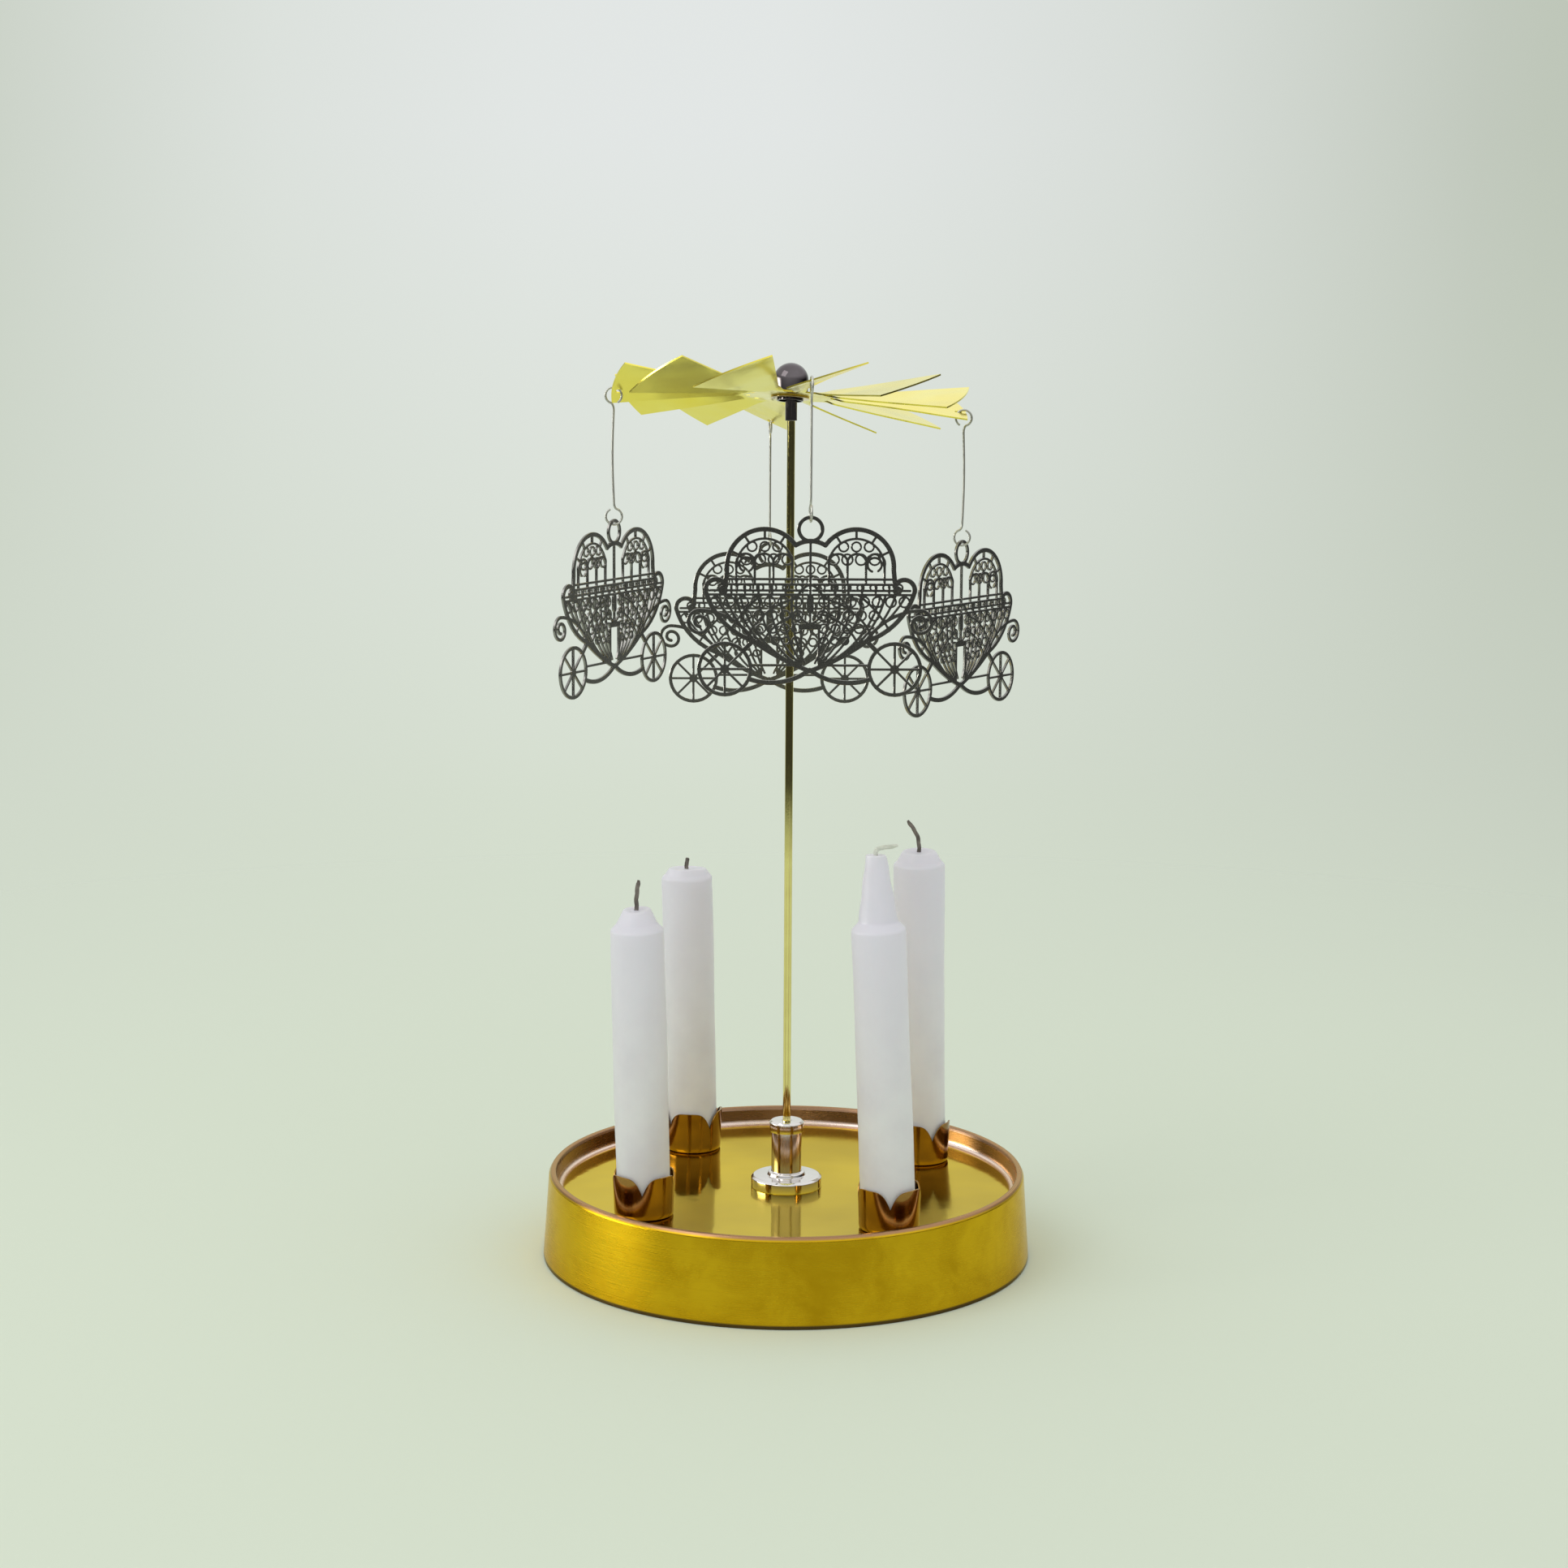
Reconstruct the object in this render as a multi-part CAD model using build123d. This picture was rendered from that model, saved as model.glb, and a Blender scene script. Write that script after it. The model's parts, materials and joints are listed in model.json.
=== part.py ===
from build123d import *
import math
import os

# A candle carousel: candles in a brass tray drive a vaned rotor, which balances on a
# needle at the top of a thin column and carries pierced coach charms on wire hangers.
# Millimetres, +Z up, origin at the centre of the foot. The rotor is modelled as it hangs,
# tipped over on its needle point.

# Tray, one drawn sheet with a skirt, a folded rim and a sunken floor
tray_rim_radius = 55.0
tray_skirt_flare = 1.4
tray_height = 20.0
tray_floor_height = 15.5
tray_sheet = 0.6
tray_rim_width = 1.9
tray_rim_edge = 0.45
foot_flange_width = 2.6

# Rod socket, the turned fitting at the centre of the tray
socket_flange_radius = 8.2
socket_flange_height = 2.7
socket_post_radius = 3.5
socket_post_height = 10.4
socket_bead_radius = 4.2
socket_bead_height = 0.8
socket_edge = 0.45
rod_seat_depth = 7.0
collar_radius = 3.95
collar_height = 2.6
collar_edge = 0.35

# Screw and washer that pull the socket down from under the floor
screw_shank_radius = 1.5
screw_shank_length = 6.2
screw_head_radius = 2.8
screw_head_height = 1.9
screw_slot_width = 0.8
screw_slot_depth = 0.9
washer_radius = 4.6
washer_height = 0.7

# Column, needle and the ferrule that holds the needle
rod_radius = 0.9
ferrule_radius = 1.35
ferrule_height = 5.2
ferrule_nose_height = 1.3
ferrule_nose_radius = 0.75
ferrule_overlap = 2.4
needle_radius = 0.45
needle_cone_height = 1.8
needle_point_height = 202.9
needle_reach = 8.3

# Candle cups, pressed in four petals, and their rivets
cup_rim_distance = 15.7
cup_first_angle = 34.0
right_rear_cup_angle = 22.0
left_rear_cup_angle = 37.0
left_front_cup_angle = -2.0
right_front_cup_angle = -1.0
cup_base_radius = 6.75
cup_lip_radius = 7.1
cup_height = 9.8
cup_sheet = 0.35
petal_chord_count = 3
petal_count = 4
petal_notch_depth = 4.0
petal_shoulder_reach = 4.9
petal_shoulder_rise = 2.7
petal_shoulder_inset = 1.35
rivet_radius = 1.0
rivet_head_radius = 1.9
rivet_head_height = 0.4
fastener_side_count = 10

# Candles, each with its own burnt or fresh top, and their wicks: length, shoulder below the top, ledge and
# crown radius, bend radius and tail of the wick, then how far and which way the candle leans and the wick bends
candle_base_radius = 6.1
candle_seat_gap = 0.12
wick_radius = 0.55
wick_clearance = 0.05
wick_stub = 1.2
wick_run_count = 3
right_rear_length = 74.2
right_rear_shoulder = 3.2
right_rear_ledge = 0.9
right_rear_crown = 3.4
right_rear_wick_bend = 4.0
right_rear_wick_tail = 2.6
right_rear_lean_angle = 0.9
right_rear_lean_way_angle = 160.0
right_rear_bend_angle = 62.0
right_rear_bend_way_angle = 178.0
left_rear_length = 68.2
left_rear_shoulder = 3.4
left_rear_ledge = 1.0
left_rear_crown = 3.2
left_rear_wick_bend = 3.0
left_rear_wick_tail = 0.8
left_rear_lean_angle = 1.3
left_rear_lean_way_angle = 186.0
left_rear_bend_angle = 18.0
left_rear_bend_way_angle = 0.0
left_front_length = 69.0
left_front_shoulder = 4.0
left_front_ledge = 1.2
left_front_crown = 2.9
left_front_wick_bend = 9.0
left_front_wick_tail = 2.2
left_front_lean_angle = 1.3
left_front_lean_way_angle = 180.0
left_front_bend_angle = 24.0
left_front_bend_way_angle = 20.0
right_front_length = 83.4
right_front_shoulder = 16.6
right_front_ledge = 1.7
right_front_crown = 2.2
right_front_wick_bend = 1.6
right_front_wick_tail = 3.4
right_front_lean_angle = 2.6
right_front_lean_way_angle = 182.0
right_front_bend_angle = 78.0
right_front_bend_way_angle = 0.0

# Rotor, one thin disc slit into vanes that are twisted at their necks
rotor_drop = 5.3
rotor_radius = 39.85
rotor_sheet = 0.35
rotor_eye_radius = 3.0
rotor_disc_radius = 9.0
vane_count = 12
vane_first_angle = 10.0
vane_pitch_angle = 21.0
vane_slit = 2.0
vane_neck_width = 3.0
vane_neck_length = 3.4
rim_chord_count = 4
rotor_tip_angle = 9.0
rotor_uphill_angle = 252.0

# Hub cap, its bearing seat and the ring that locks it to the disc
cap_radius = 3.95
cap_wall = 0.7
crown_chord_count = 5
cap_skirt_height = 3.3
cap_bore_radius = 2.6
cap_spigot_length = 0.9
seat_radius = 1.7
seat_height = 1.5
seat_dimple_depth = 0.7
seat_dimple_radius = 0.85
needle_clearance = 0.05
lock_ring_radius = 4.3
lock_ring_height = 0.4

# Wire hangers with a round eye at each end
hanger_first_angle = 5.0
hanger_wire_radius = 0.25
hanger_eye_radius = 1.8
hanger_eye_gap_angle = 26.0
hanger_eye_spacing = 26.8
hanger_hole_radius = 0.85
hanger_hole_side_count = 8
hanger_strip_width = 0.9
hanger_eye_slack = 0.3
wire_side_count = 6
eye_run_count = 10

# Coach charms, flat and pierced, drawn about the centre of the hanging ring
charm_sheet = 0.5
charm_ring_radius = 2.9
charm_ring_band = 0.8
charm_link_slack = 0.25
right_charm_angle = 54.0
left_charm_angle = 62.0
coach_half_width = 18.0
coach_drop = 29.8
heavy_line = 0.9
light_line = 0.5
lobe_radius = 8.0
lobe_offset = 9.7
lobe_start_angle = 145.0
lobe_end_angle = -4.0
wheel_track = 18.1
wheel_radius = 5.9
wheel_band = 0.8
wheel_hub_radius = 1.0
wheel_spoke_count = 8
wheel_side_count = 12
ring_side_count = 10
chord_angle = 45.0
shaft_scroll_radius = 2.45
shaft_scroll_offset = 23.4
shaft_scroll_drop = 19.65
scroll_shrink_shares = (1.0, 0.66)
shaft_line = 0.75
window_knot_half_width = 1.05
window_knot_half_height = 1.7
door_knot_half_width = 1.5
door_knot_half_height = 1.2
wheel_shoulder_angle = 135.0
curl_ball_radius = 0.9

# Sides of the small round pieces, clearances, and the overrun that serves every cut
turned_side_count = 16
tray_side_count = 60
socket_side_count = 20
candle_side_count = 20
press_clearance = 0.02
cut_overrun = 1.0

CORNERS = ("right_rear", "left_rear", "left_front", "right_front")
SIDES = ("right", "rear", "left", "front")


# Heights and places that follow from the sizes above
tray_foot_radius = tray_rim_radius + tray_skirt_flare
cup_circle_radius = tray_rim_radius - cup_rim_distance
rod_top_height = needle_point_height - needle_reach
rotor_height = needle_point_height - rotor_drop
socket_base = tray_floor_height
flange_top = socket_base + socket_flange_height
post_top = flange_top + socket_post_height
floor_underside = tray_floor_height - tray_sheet
rod_bottom = post_top - rod_seat_depth
ferrule_bottom = rod_top_height - ferrule_overlap
ferrule_shoulder = ferrule_bottom + ferrule_height
cup_floor_top = tray_floor_height + cup_sheet
candle_bottom = cup_floor_top + rivet_head_height + candle_seat_gap
rotor_underside = rotor_height - rotor_sheet / 2
rotor_topside = rotor_height + rotor_sheet / 2
cap_top = rotor_topside + cap_skirt_height + cap_radius
pivot_point = (0, 0, needle_point_height)
cup_angles = {"right_rear": right_rear_cup_angle, "left_rear": left_rear_cup_angle,
              "left_front": left_front_cup_angle, "right_front": right_front_cup_angle}
candle_leans = {"right_rear": (right_rear_lean_angle, right_rear_lean_way_angle),
                "left_rear": (left_rear_lean_angle, left_rear_lean_way_angle),
                "left_front": (left_front_lean_angle, left_front_lean_way_angle),
                "right_front": (right_front_lean_angle, right_front_lean_way_angle)}
wick_bends = {"right_rear": (right_rear_bend_angle, right_rear_bend_way_angle),
              "left_rear": (left_rear_bend_angle, left_rear_bend_way_angle),
              "left_front": (left_front_bend_angle, left_front_bend_way_angle),
              "right_front": (right_front_bend_angle, right_front_bend_way_angle)}
charm_angles = {"right": right_charm_angle, "rear": 0, "left": left_charm_angle, "front": 0}
candle_lengths = {"right_rear": right_rear_length, "left_rear": left_rear_length,
                  "left_front": left_front_length, "right_front": right_front_length}
candle_shoulders = {"right_rear": right_rear_shoulder, "left_rear": left_rear_shoulder,
                    "left_front": left_front_shoulder, "right_front": right_front_shoulder}
candle_ledges = {"right_rear": right_rear_ledge, "left_rear": left_rear_ledge,
                 "left_front": left_front_ledge, "right_front": right_front_ledge}
candle_crown_radii = {"right_rear": right_rear_crown, "left_rear": left_rear_crown,
                      "left_front": left_front_crown, "right_front": right_front_crown}
wick_bend_radii = {"right_rear": right_rear_wick_bend, "left_rear": left_rear_wick_bend,
                   "left_front": left_front_wick_bend, "right_front": right_front_wick_bend}
wick_tails = {"right_rear": right_rear_wick_tail, "left_rear": left_rear_wick_tail,
              "left_front": left_front_wick_tail, "right_front": right_front_wick_tail}


def polar(radius, bearing, height=0):
    """A point at a radius and a bearing in degrees, counted from +X towards +Y."""
    turn = math.radians(bearing)
    return (radius * math.cos(turn), radius * math.sin(turn), height)


def faceted(points, sides):
    """A solid turned in flat sides about the Z axis, from a closed outline of (radius, height) points."""
    step = 360 / sides
    faces = []
    for (radius, height), (next_radius, next_height) in zip(points, points[1:] + points[:1]):
        for side in range(sides):
            near, far = side * step, (side + 1) * step
            corners = [polar(radius, near, height)]
            if radius:
                corners.append(polar(radius, far, height))
            if next_radius:
                corners.append(polar(next_radius, far, next_height))
            if next_radius or radius:
                corners.append(polar(next_radius, near, next_height))
            if len(corners) > 2:
                faces.append(Face(Wire.make_polygon([Vector(*corner) for corner in corners], close=True)))
    return Solid(Shell(faces)).clean()


def post(lower_radius, bottom, upper_radius, top):
    """A small upright post or frustum on the Z axis with flat sides."""
    return faceted([(0, bottom), (lower_radius, bottom), (upper_radius, top), (0, top)], turned_side_count)


def small_prism(radius, bottom, top):
    """A small upright prism on the Z axis, for fasteners and the holes they fill."""
    return Pos(0, 0, bottom) * extrude(RegularPolygon(radius, fastener_side_count), top - bottom)


def tray_shell():
    rim_inside = tray_rim_radius - tray_rim_width
    hole_radius = screw_shank_radius + press_clearance
    pan = faceted([
        (tray_foot_radius - foot_flange_width, 0),
        (tray_foot_radius, 0),
        (tray_rim_radius, tray_height - tray_rim_edge),
        (tray_rim_radius - tray_rim_edge, tray_height),
        (rim_inside, tray_height),
        (rim_inside, tray_floor_height),
        (hole_radius, tray_floor_height),
        (hole_radius, floor_underside),
        (rim_inside + tray_sheet, floor_underside),
        (rim_inside + tray_sheet, tray_height - tray_sheet),
        (tray_rim_radius - tray_sheet, tray_height - tray_sheet),
        (tray_foot_radius - tray_sheet, tray_sheet),
        (tray_foot_radius - foot_flange_width, tray_sheet),
    ], tray_side_count)
    top = tray_floor_height + cut_overrun
    for corner in CORNERS:
        hole = small_prism(rivet_radius + press_clearance, floor_underside - cut_overrun, top)
        pan -= at_corner(hole, corner)
    return pan


def rod_socket():
    bead_top = flange_top + socket_bead_height
    body = faceted([
        (0, socket_base),
        (socket_flange_radius, socket_base),
        (socket_flange_radius, flange_top - socket_edge),
        (socket_flange_radius - socket_edge, flange_top),
        (socket_bead_radius, flange_top),
        (socket_bead_radius, bead_top),
        (socket_post_radius, bead_top),
        (socket_post_radius, post_top),
        (0, post_top),
    ], socket_side_count)
    bore_radius = rod_radius + press_clearance
    body -= post(bore_radius, rod_bottom, bore_radius, post_top + cut_overrun)
    screw_top = floor_underside - washer_height + screw_shank_length
    body -= small_prism(screw_shank_radius + press_clearance, socket_base - cut_overrun,
                        screw_top + press_clearance)
    return body


def socket_collar():
    collar_top = post_top + collar_height
    bore_radius = rod_radius + press_clearance
    return faceted([
        (bore_radius, post_top),
        (collar_radius, post_top),
        (collar_radius, collar_top - collar_edge),
        (collar_radius - collar_edge, collar_top),
        (bore_radius, collar_top),
    ], turned_side_count)


def base_washer():
    bottom = floor_underside - washer_height
    return small_prism(washer_radius, bottom, floor_underside) - small_prism(
        screw_shank_radius + press_clearance, bottom - cut_overrun, floor_underside + cut_overrun)


def base_screw():
    head_top = floor_underside - washer_height
    head_bottom = head_top - screw_head_height
    head = small_prism(screw_head_radius, head_bottom, head_top)
    shank = small_prism(screw_shank_radius, head_top, head_top + screw_shank_length)
    slot = Pos(0, 0, head_bottom + screw_slot_depth / 2) * Box(
        2 * screw_head_radius + cut_overrun, screw_slot_width, screw_slot_depth)
    return head + shank - slot


def column_rod():
    return post(rod_radius, rod_bottom, rod_radius, rod_top_height)


def needle_ferrule():
    nose_top = ferrule_shoulder + ferrule_nose_height
    rod_bore_radius = rod_radius + press_clearance
    needle_bore_radius = needle_radius + press_clearance
    rod_bore_top = rod_top_height + press_clearance
    return faceted([
        (rod_bore_radius, ferrule_bottom),
        (ferrule_radius, ferrule_bottom),
        (ferrule_radius, ferrule_shoulder),
        (ferrule_nose_radius, nose_top),
        (needle_bore_radius, nose_top),
        (needle_bore_radius, rod_bore_top),
        (rod_bore_radius, rod_bore_top),
    ], turned_side_count)


def pivot_needle():
    foot = rod_top_height + 2 * press_clearance
    cone_foot = needle_point_height - needle_cone_height
    return faceted([
        (0, foot),
        (needle_radius, foot),
        (needle_radius, cone_foot),
        (0, needle_point_height),
    ], turned_side_count)


def at_corner(solid, corner):
    """Places a solid made on the Z axis at a candle cup."""
    bearing = cup_first_angle + CORNERS.index(corner) * 360 / len(CORNERS)
    return Pos(*polar(cup_circle_radius, bearing)) * solid


def candle_cup(corner):
    top = tray_floor_height + cup_height
    cup = post(cup_base_radius, tray_floor_height, cup_lip_radius, top)
    cup -= post(cup_base_radius - cup_sheet, cup_floor_top, cup_lip_radius - cup_sheet, top)
    cusp = top - petal_notch_depth
    shoulder = cusp + petal_shoulder_rise
    brim = top + cut_overrun
    edge = ThreePointArc((0, cusp), (petal_shoulder_inset, shoulder), (petal_shoulder_reach, top))
    right = [edge @ (step / petal_chord_count) for step in range(petal_chord_count + 1)]
    left = [Vector(-point.X, point.Y) for point in right[:0:-1]]
    lid = [(petal_shoulder_reach, brim), (-petal_shoulder_reach, brim)]
    outline = make_face(Polyline(*left, *right, *lid, close=True))
    notch = extrude(Plane.XZ * outline, cup_lip_radius + cut_overrun)
    for step in range(petal_count):
        cup -= Rot(0, 0, step * 360 / petal_count) * notch
    cup = Rot(0, 0, cup_angles[corner]) * cup
    cup -= small_prism(rivet_radius + press_clearance, tray_floor_height - cut_overrun, top)
    return at_corner(cup, corner)


def cup_rivets():
    """The four rivets that hold the cups, as one group of separate solids."""
    shank = small_prism(rivet_radius, floor_underside, cup_floor_top)
    upper = small_prism(rivet_head_radius, cup_floor_top, cup_floor_top + rivet_head_height)
    lower = small_prism(rivet_head_radius, floor_underside - rivet_head_height, floor_underside)
    rivet = upper + shank + lower
    return Compound([at_corner(rivet, corner).solid() for corner in CORNERS])


def leaning(solid, corner):
    """Leans a candle or wick about the middle of its foot, then stands it in its cup."""
    lean, bearing = candle_leans[corner]
    axis = Axis((0, 0, candle_bottom), polar(1, bearing + 90))
    return at_corner(solid.rotate(axis, lean), corner)


def candle(corner):
    length = candle_lengths[corner]
    shoulder = candle_bottom + length - candle_shoulders[corner]
    top = candle_bottom + length
    ledge_radius = candle_base_radius - candle_ledges[corner]
    body = faceted([
        (0, candle_bottom),
        (candle_base_radius, candle_bottom),
        (candle_base_radius, shoulder),
        (ledge_radius, shoulder + candle_ledges[corner]),
        (candle_crown_radii[corner], top),
        (0, top),
    ], candle_side_count)
    bore = RegularPolygon(wick_radius + wick_clearance, wire_side_count)
    body -= Pos(0, 0, candle_bottom - cut_overrun) * extrude(bore, length + 2 * cut_overrun)
    return leaning(body, corner)


def wick(corner):
    foot = (0, 0, candle_bottom)
    neck = (0, 0, candle_bottom + candle_lengths[corner] + wick_stub)
    radius = wick_bend_radii[corner]
    sweep_angle, bearing = wick_bends[corner]
    points = [foot]
    for step in range(wick_run_count + 1):
        turn = math.radians(sweep_angle * step / wick_run_count)
        out = radius * (1 - math.cos(turn))
        points.append(polar(out, bearing, neck[2] + radius * math.sin(turn)))
    tail = math.radians(sweep_angle)
    out += wick_tails[corner] * math.sin(tail)
    points.append(polar(out, bearing, points[-1][2] + wick_tails[corner] * math.cos(tail)))
    section = Plane(origin=foot, z_dir=(0, 0, 1)) * RegularPolygon(wick_radius, wire_side_count)
    return leaning(sweep(section, path=Polyline(*points), transition=Transition.RIGHT), corner)


def tipped(solid):
    """Tips a piece of the rotor about the needle point, up towards the uphill bearing."""
    axis = Axis(pivot_point, polar(1, rotor_uphill_angle - 90))
    return solid.rotate(axis, rotor_tip_angle)


def tipped_vector(vector):
    axis = Axis((0, 0, 0), polar(1, rotor_uphill_angle - 90))
    return Vector(*vector).rotate(axis, rotor_tip_angle)


def tipped_point(point):
    return Vector(*pivot_point) + tipped_vector(Vector(*point) - Vector(*pivot_point))


def hanger_hole_bearing():
    """Bearing of a hanger hole on a flat vane, before the vane is pitched."""
    offset = math.radians(hanger_first_angle - vane_first_angle)
    return math.degrees(math.atan(math.tan(offset) / math.cos(math.radians(vane_pitch_angle))))


def strip_radius():
    """Radius of the middle of the strip between a hanger hole and the vane tip."""
    return rotor_radius - hanger_strip_width / 2


def vane(pierced):
    """One pitched vane along +X at height zero, with the narrow neck that joins the disc."""
    neck_end = rotor_disc_radius + vane_neck_length
    neck_start = rotor_disc_radius - vane_neck_length / 2
    half_angle = 180 / vane_count
    tip = math.sin(math.radians(half_angle)) * rotor_radius - vane_slit / 2
    reach = math.sqrt(rotor_radius ** 2 - tip ** 2)
    neck_half = vane_neck_width / 2
    sides = [(reach, -tip), (neck_end, -neck_half), (neck_start, -neck_half),
             (neck_start, neck_half), (neck_end, neck_half), (reach, tip)]
    rim_angle = math.degrees(math.asin(tip / rotor_radius))
    rim = []
    for step in range(1, rim_chord_count):
        x, y, z = polar(rotor_radius, rim_angle * (1 - 2 * step / rim_chord_count))
        rim.append((x, y))
    outline = make_face(Polyline(*sides, *rim, close=True))
    blade = extrude(outline, rotor_sheet / 2, both=True)
    if pierced:
        hole_radius = rotor_radius - hanger_strip_width - hanger_hole_radius
        hole = extrude(RegularPolygon(hanger_hole_radius, hanger_hole_side_count), rotor_sheet, both=True)
        blade -= Pos(*polar(hole_radius, hanger_hole_bearing())) * Rot(0, 0, hanger_hole_bearing()) * hole
    return blade.rotate(Axis.X, vane_pitch_angle)


def rotor_vanes():
    disc = post(rotor_disc_radius, rotor_underside, rotor_disc_radius, rotor_topside)
    pierced = Pos(0, 0, rotor_height) * vane(True)
    plain = Pos(0, 0, rotor_height) * vane(False)
    vanes_per_hanger = vane_count // len(SIDES)
    for step in range(vane_count):
        blade = plain if step % vanes_per_hanger else pierced
        disc += blade.rotate(Axis.Z, vane_first_angle + step * 360 / vane_count)
    eye_radius = rotor_eye_radius + press_clearance
    disc -= post(eye_radius, rotor_underside - cut_overrun, eye_radius, rotor_topside + cut_overrun)
    return tipped(disc)


def rotor_cap():
    skirt_top = rotor_topside + cap_skirt_height
    spigot_bottom = rotor_underside - cap_spigot_length
    seat_bottom = needle_point_height + needle_clearance - seat_dimple_depth
    seat_top = seat_bottom + seat_height
    seat_bore_radius = seat_radius + press_clearance
    crown = []
    for step in range(1, crown_chord_count + 1):
        radius, rise, z = polar(cap_radius, 90 * step / crown_chord_count)
        crown.append((radius, skirt_top + rise))
    crown[-1] = (0, cap_top)
    return tipped(faceted([
        (cap_bore_radius, spigot_bottom),
        (rotor_eye_radius, spigot_bottom),
        (rotor_eye_radius, rotor_topside),
        (cap_radius, rotor_topside),
        (cap_radius, skirt_top),
    ] + crown + [
        (0, seat_top),
        (seat_bore_radius, seat_top),
        (seat_bore_radius, seat_bottom),
        (seat_radius + cap_wall, seat_bottom),
        (cap_bore_radius, skirt_top),
    ], turned_side_count))


def pivot_seat():
    """The bearing seat in the crown, with the conical dimple that rides on the needle."""
    dimple_top = needle_point_height + needle_clearance
    foot = dimple_top - seat_dimple_depth
    return tipped(faceted([
        (seat_dimple_radius, foot),
        (seat_radius, foot),
        (seat_radius, foot + seat_height),
        (0, foot + seat_height),
        (0, dimple_top),
    ], turned_side_count))


def cap_lock_ring():
    bottom = rotor_underside - lock_ring_height
    eye_radius = rotor_eye_radius + press_clearance
    return tipped(faceted([
        (eye_radius, bottom),
        (lock_ring_radius, bottom),
        (lock_ring_radius, rotor_underside),
        (eye_radius, rotor_underside),
    ], turned_side_count))


def hanger_place(side):
    """Middle of the vane strip that a hanger hangs on, and the level way out along it."""
    bearing = hanger_hole_bearing()
    flat = Vector(*polar(strip_radius(), bearing)).rotate(Axis.X, vane_pitch_angle)
    way = Vector(*polar(1, bearing)).rotate(Axis.X, vane_pitch_angle)
    turn = SIDES.index(side) * 360 / len(SIDES) + vane_first_angle
    flat = flat.rotate(Axis.Z, turn)
    way = tipped_vector(way.rotate(Axis.Z, turn))
    middle = tipped_point(flat + Vector(0, 0, rotor_height))
    return middle, Vector(way.X, way.Y, 0).normalized()


def upper_eye_drop():
    """From the middle of the vane strip down to the centre of the upper eye."""
    half_strip = rotor_sheet / 2 / math.cos(math.radians(vane_pitch_angle))
    return hanger_eye_radius - hanger_wire_radius - hanger_eye_slack - half_strip


def lower_eye_height(side):
    return hanger_place(side)[0].Z - upper_eye_drop() - hanger_eye_spacing


def charm_height(side):
    """Height of the centre of a charm's ring."""
    wire_top = lower_eye_height(side) - hanger_eye_radius + hanger_wire_radius
    return wire_top + charm_link_slack - charm_ring_radius + charm_ring_band


def hanger_wire(side):
    middle, way = hanger_place(side)
    upper_height = middle.Z - upper_eye_drop()
    lower_height = lower_eye_height(side)
    upper = Pos(0, 0, upper_height) * wire_eye(-90)
    lower = Pos(0, 0, lower_height) * wire_eye(90)
    stem_length = upper_height - lower_height - 2 * hanger_eye_radius
    section = RegularPolygon(hanger_wire_radius, wire_side_count)
    stem = Pos(0, 0, lower_height + hanger_eye_radius) * extrude(section, stem_length)
    bearing = math.degrees(math.atan2(way.Y, way.X))
    return Pos(middle.X, middle.Y, 0) * Rot(0, 0, bearing) * (stem + upper + lower)


def wire_eye(start_angle):
    """An eye bent from the wire, almost closed, in short straight runs."""
    turn = (360 - hanger_eye_gap_angle) / eye_run_count
    points = []
    for step in range(eye_run_count + 1):
        x, y, z = polar(hanger_eye_radius, start_angle + step * turn)
        points.append((x, 0, y))
    path = Polyline(*points)
    section = Plane(origin=path @ 0, z_dir=path % 0) * RegularPolygon(hanger_wire_radius, wire_side_count)
    return sweep(section, path=path, transition=Transition.RIGHT)


def arc_band(first, middle, last, width):
    """A band of the given width along the arc through three points, in even chords."""
    arc = ThreePointArc(first, middle, last)
    chords = max(2, round(arc.length / arc.radius / math.radians(chord_angle)))
    centre = arc.arc_center
    stations = [arc @ (step / chords) for step in range(chords + 1)]
    outer = [moved_out(station, centre, width / 2) for station in stations]
    inner = [moved_out(station, centre, -width / 2) for station in stations]
    return make_face(Polyline(*outer, *inner[::-1], close=True))


def moved_out(point, centre, step):
    ray = point - centre
    return centre + ray * ((ray.length + step) / ray.length)


def bar(first, last, width):
    """A straight band between two points."""
    start = Vector(*first)
    way = (Vector(*last) - start).normalized()
    across = way.rotate(Axis.Z, 90) * (width / 2)
    end = Vector(*last)
    return make_face(Polyline(start + across, end + across, end - across, start - across, close=True))


def ring_face(centre, radius, band, sides):
    return Pos(*centre) * (RegularPolygon(radius, sides) - RegularPolygon(radius - band, sides))


def diamond(centre, half_width, half_height):
    corners = [(half_width, 0), (0, half_height), (-half_width, 0), (0, -half_height)]
    return Pos(*centre) * make_face(Polyline(*corners, close=True))


def spot(across_share, down_share):
    """A point of the coach, in shares of its half width and of the drop from ring to axle."""
    return (across_share * coach_half_width, -down_share * coach_drop)


# Arcs of the right half of the coach: first, middle and last point, then the line
outline_arc_shares = [
    ((0.994, 0.405), (1.133, 0.359), (1.233, 0.443)),
    ((1.233, 0.443), (1.089, 0.617), (0.678, 0.795)),
    ((0.678, 0.795), (0.350, 0.919), (0.000, 1.013)),
    ((0.000, 1.005), (0.340, 1.092), (0.722, 1.070)),
]
filigree_arc_shares = [
    ((0.105, 0.950), (0.290, 0.711), (0.344, 0.466)),
    ((0.222, 0.948), (0.620, 0.705), (0.780, 0.466)),
    ((0.000, 0.393), (0.167, 0.534), (0.000, 0.678)),
]
rail_share = 0.393
fence_share = 0.466
fence_post_shares = (0.60,)
arcade_leg_shares = (0.270, 0.830)
arcade_spring_share = 0.262
door_half_share = 0.105
door_head_share = 0.695
door_foot_share = 0.985
shaft_heel_shares = (0.667, 0.794)
step_bar_shares = (0.190, 0.972)
curl_ball_shares = (1.028, 0.436)
roof_end_share = 1.0
rail_end_share = 1.01
fence_start_share = 0.145
fence_end_share = 1.22
window_knot_share = 0.534


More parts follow.
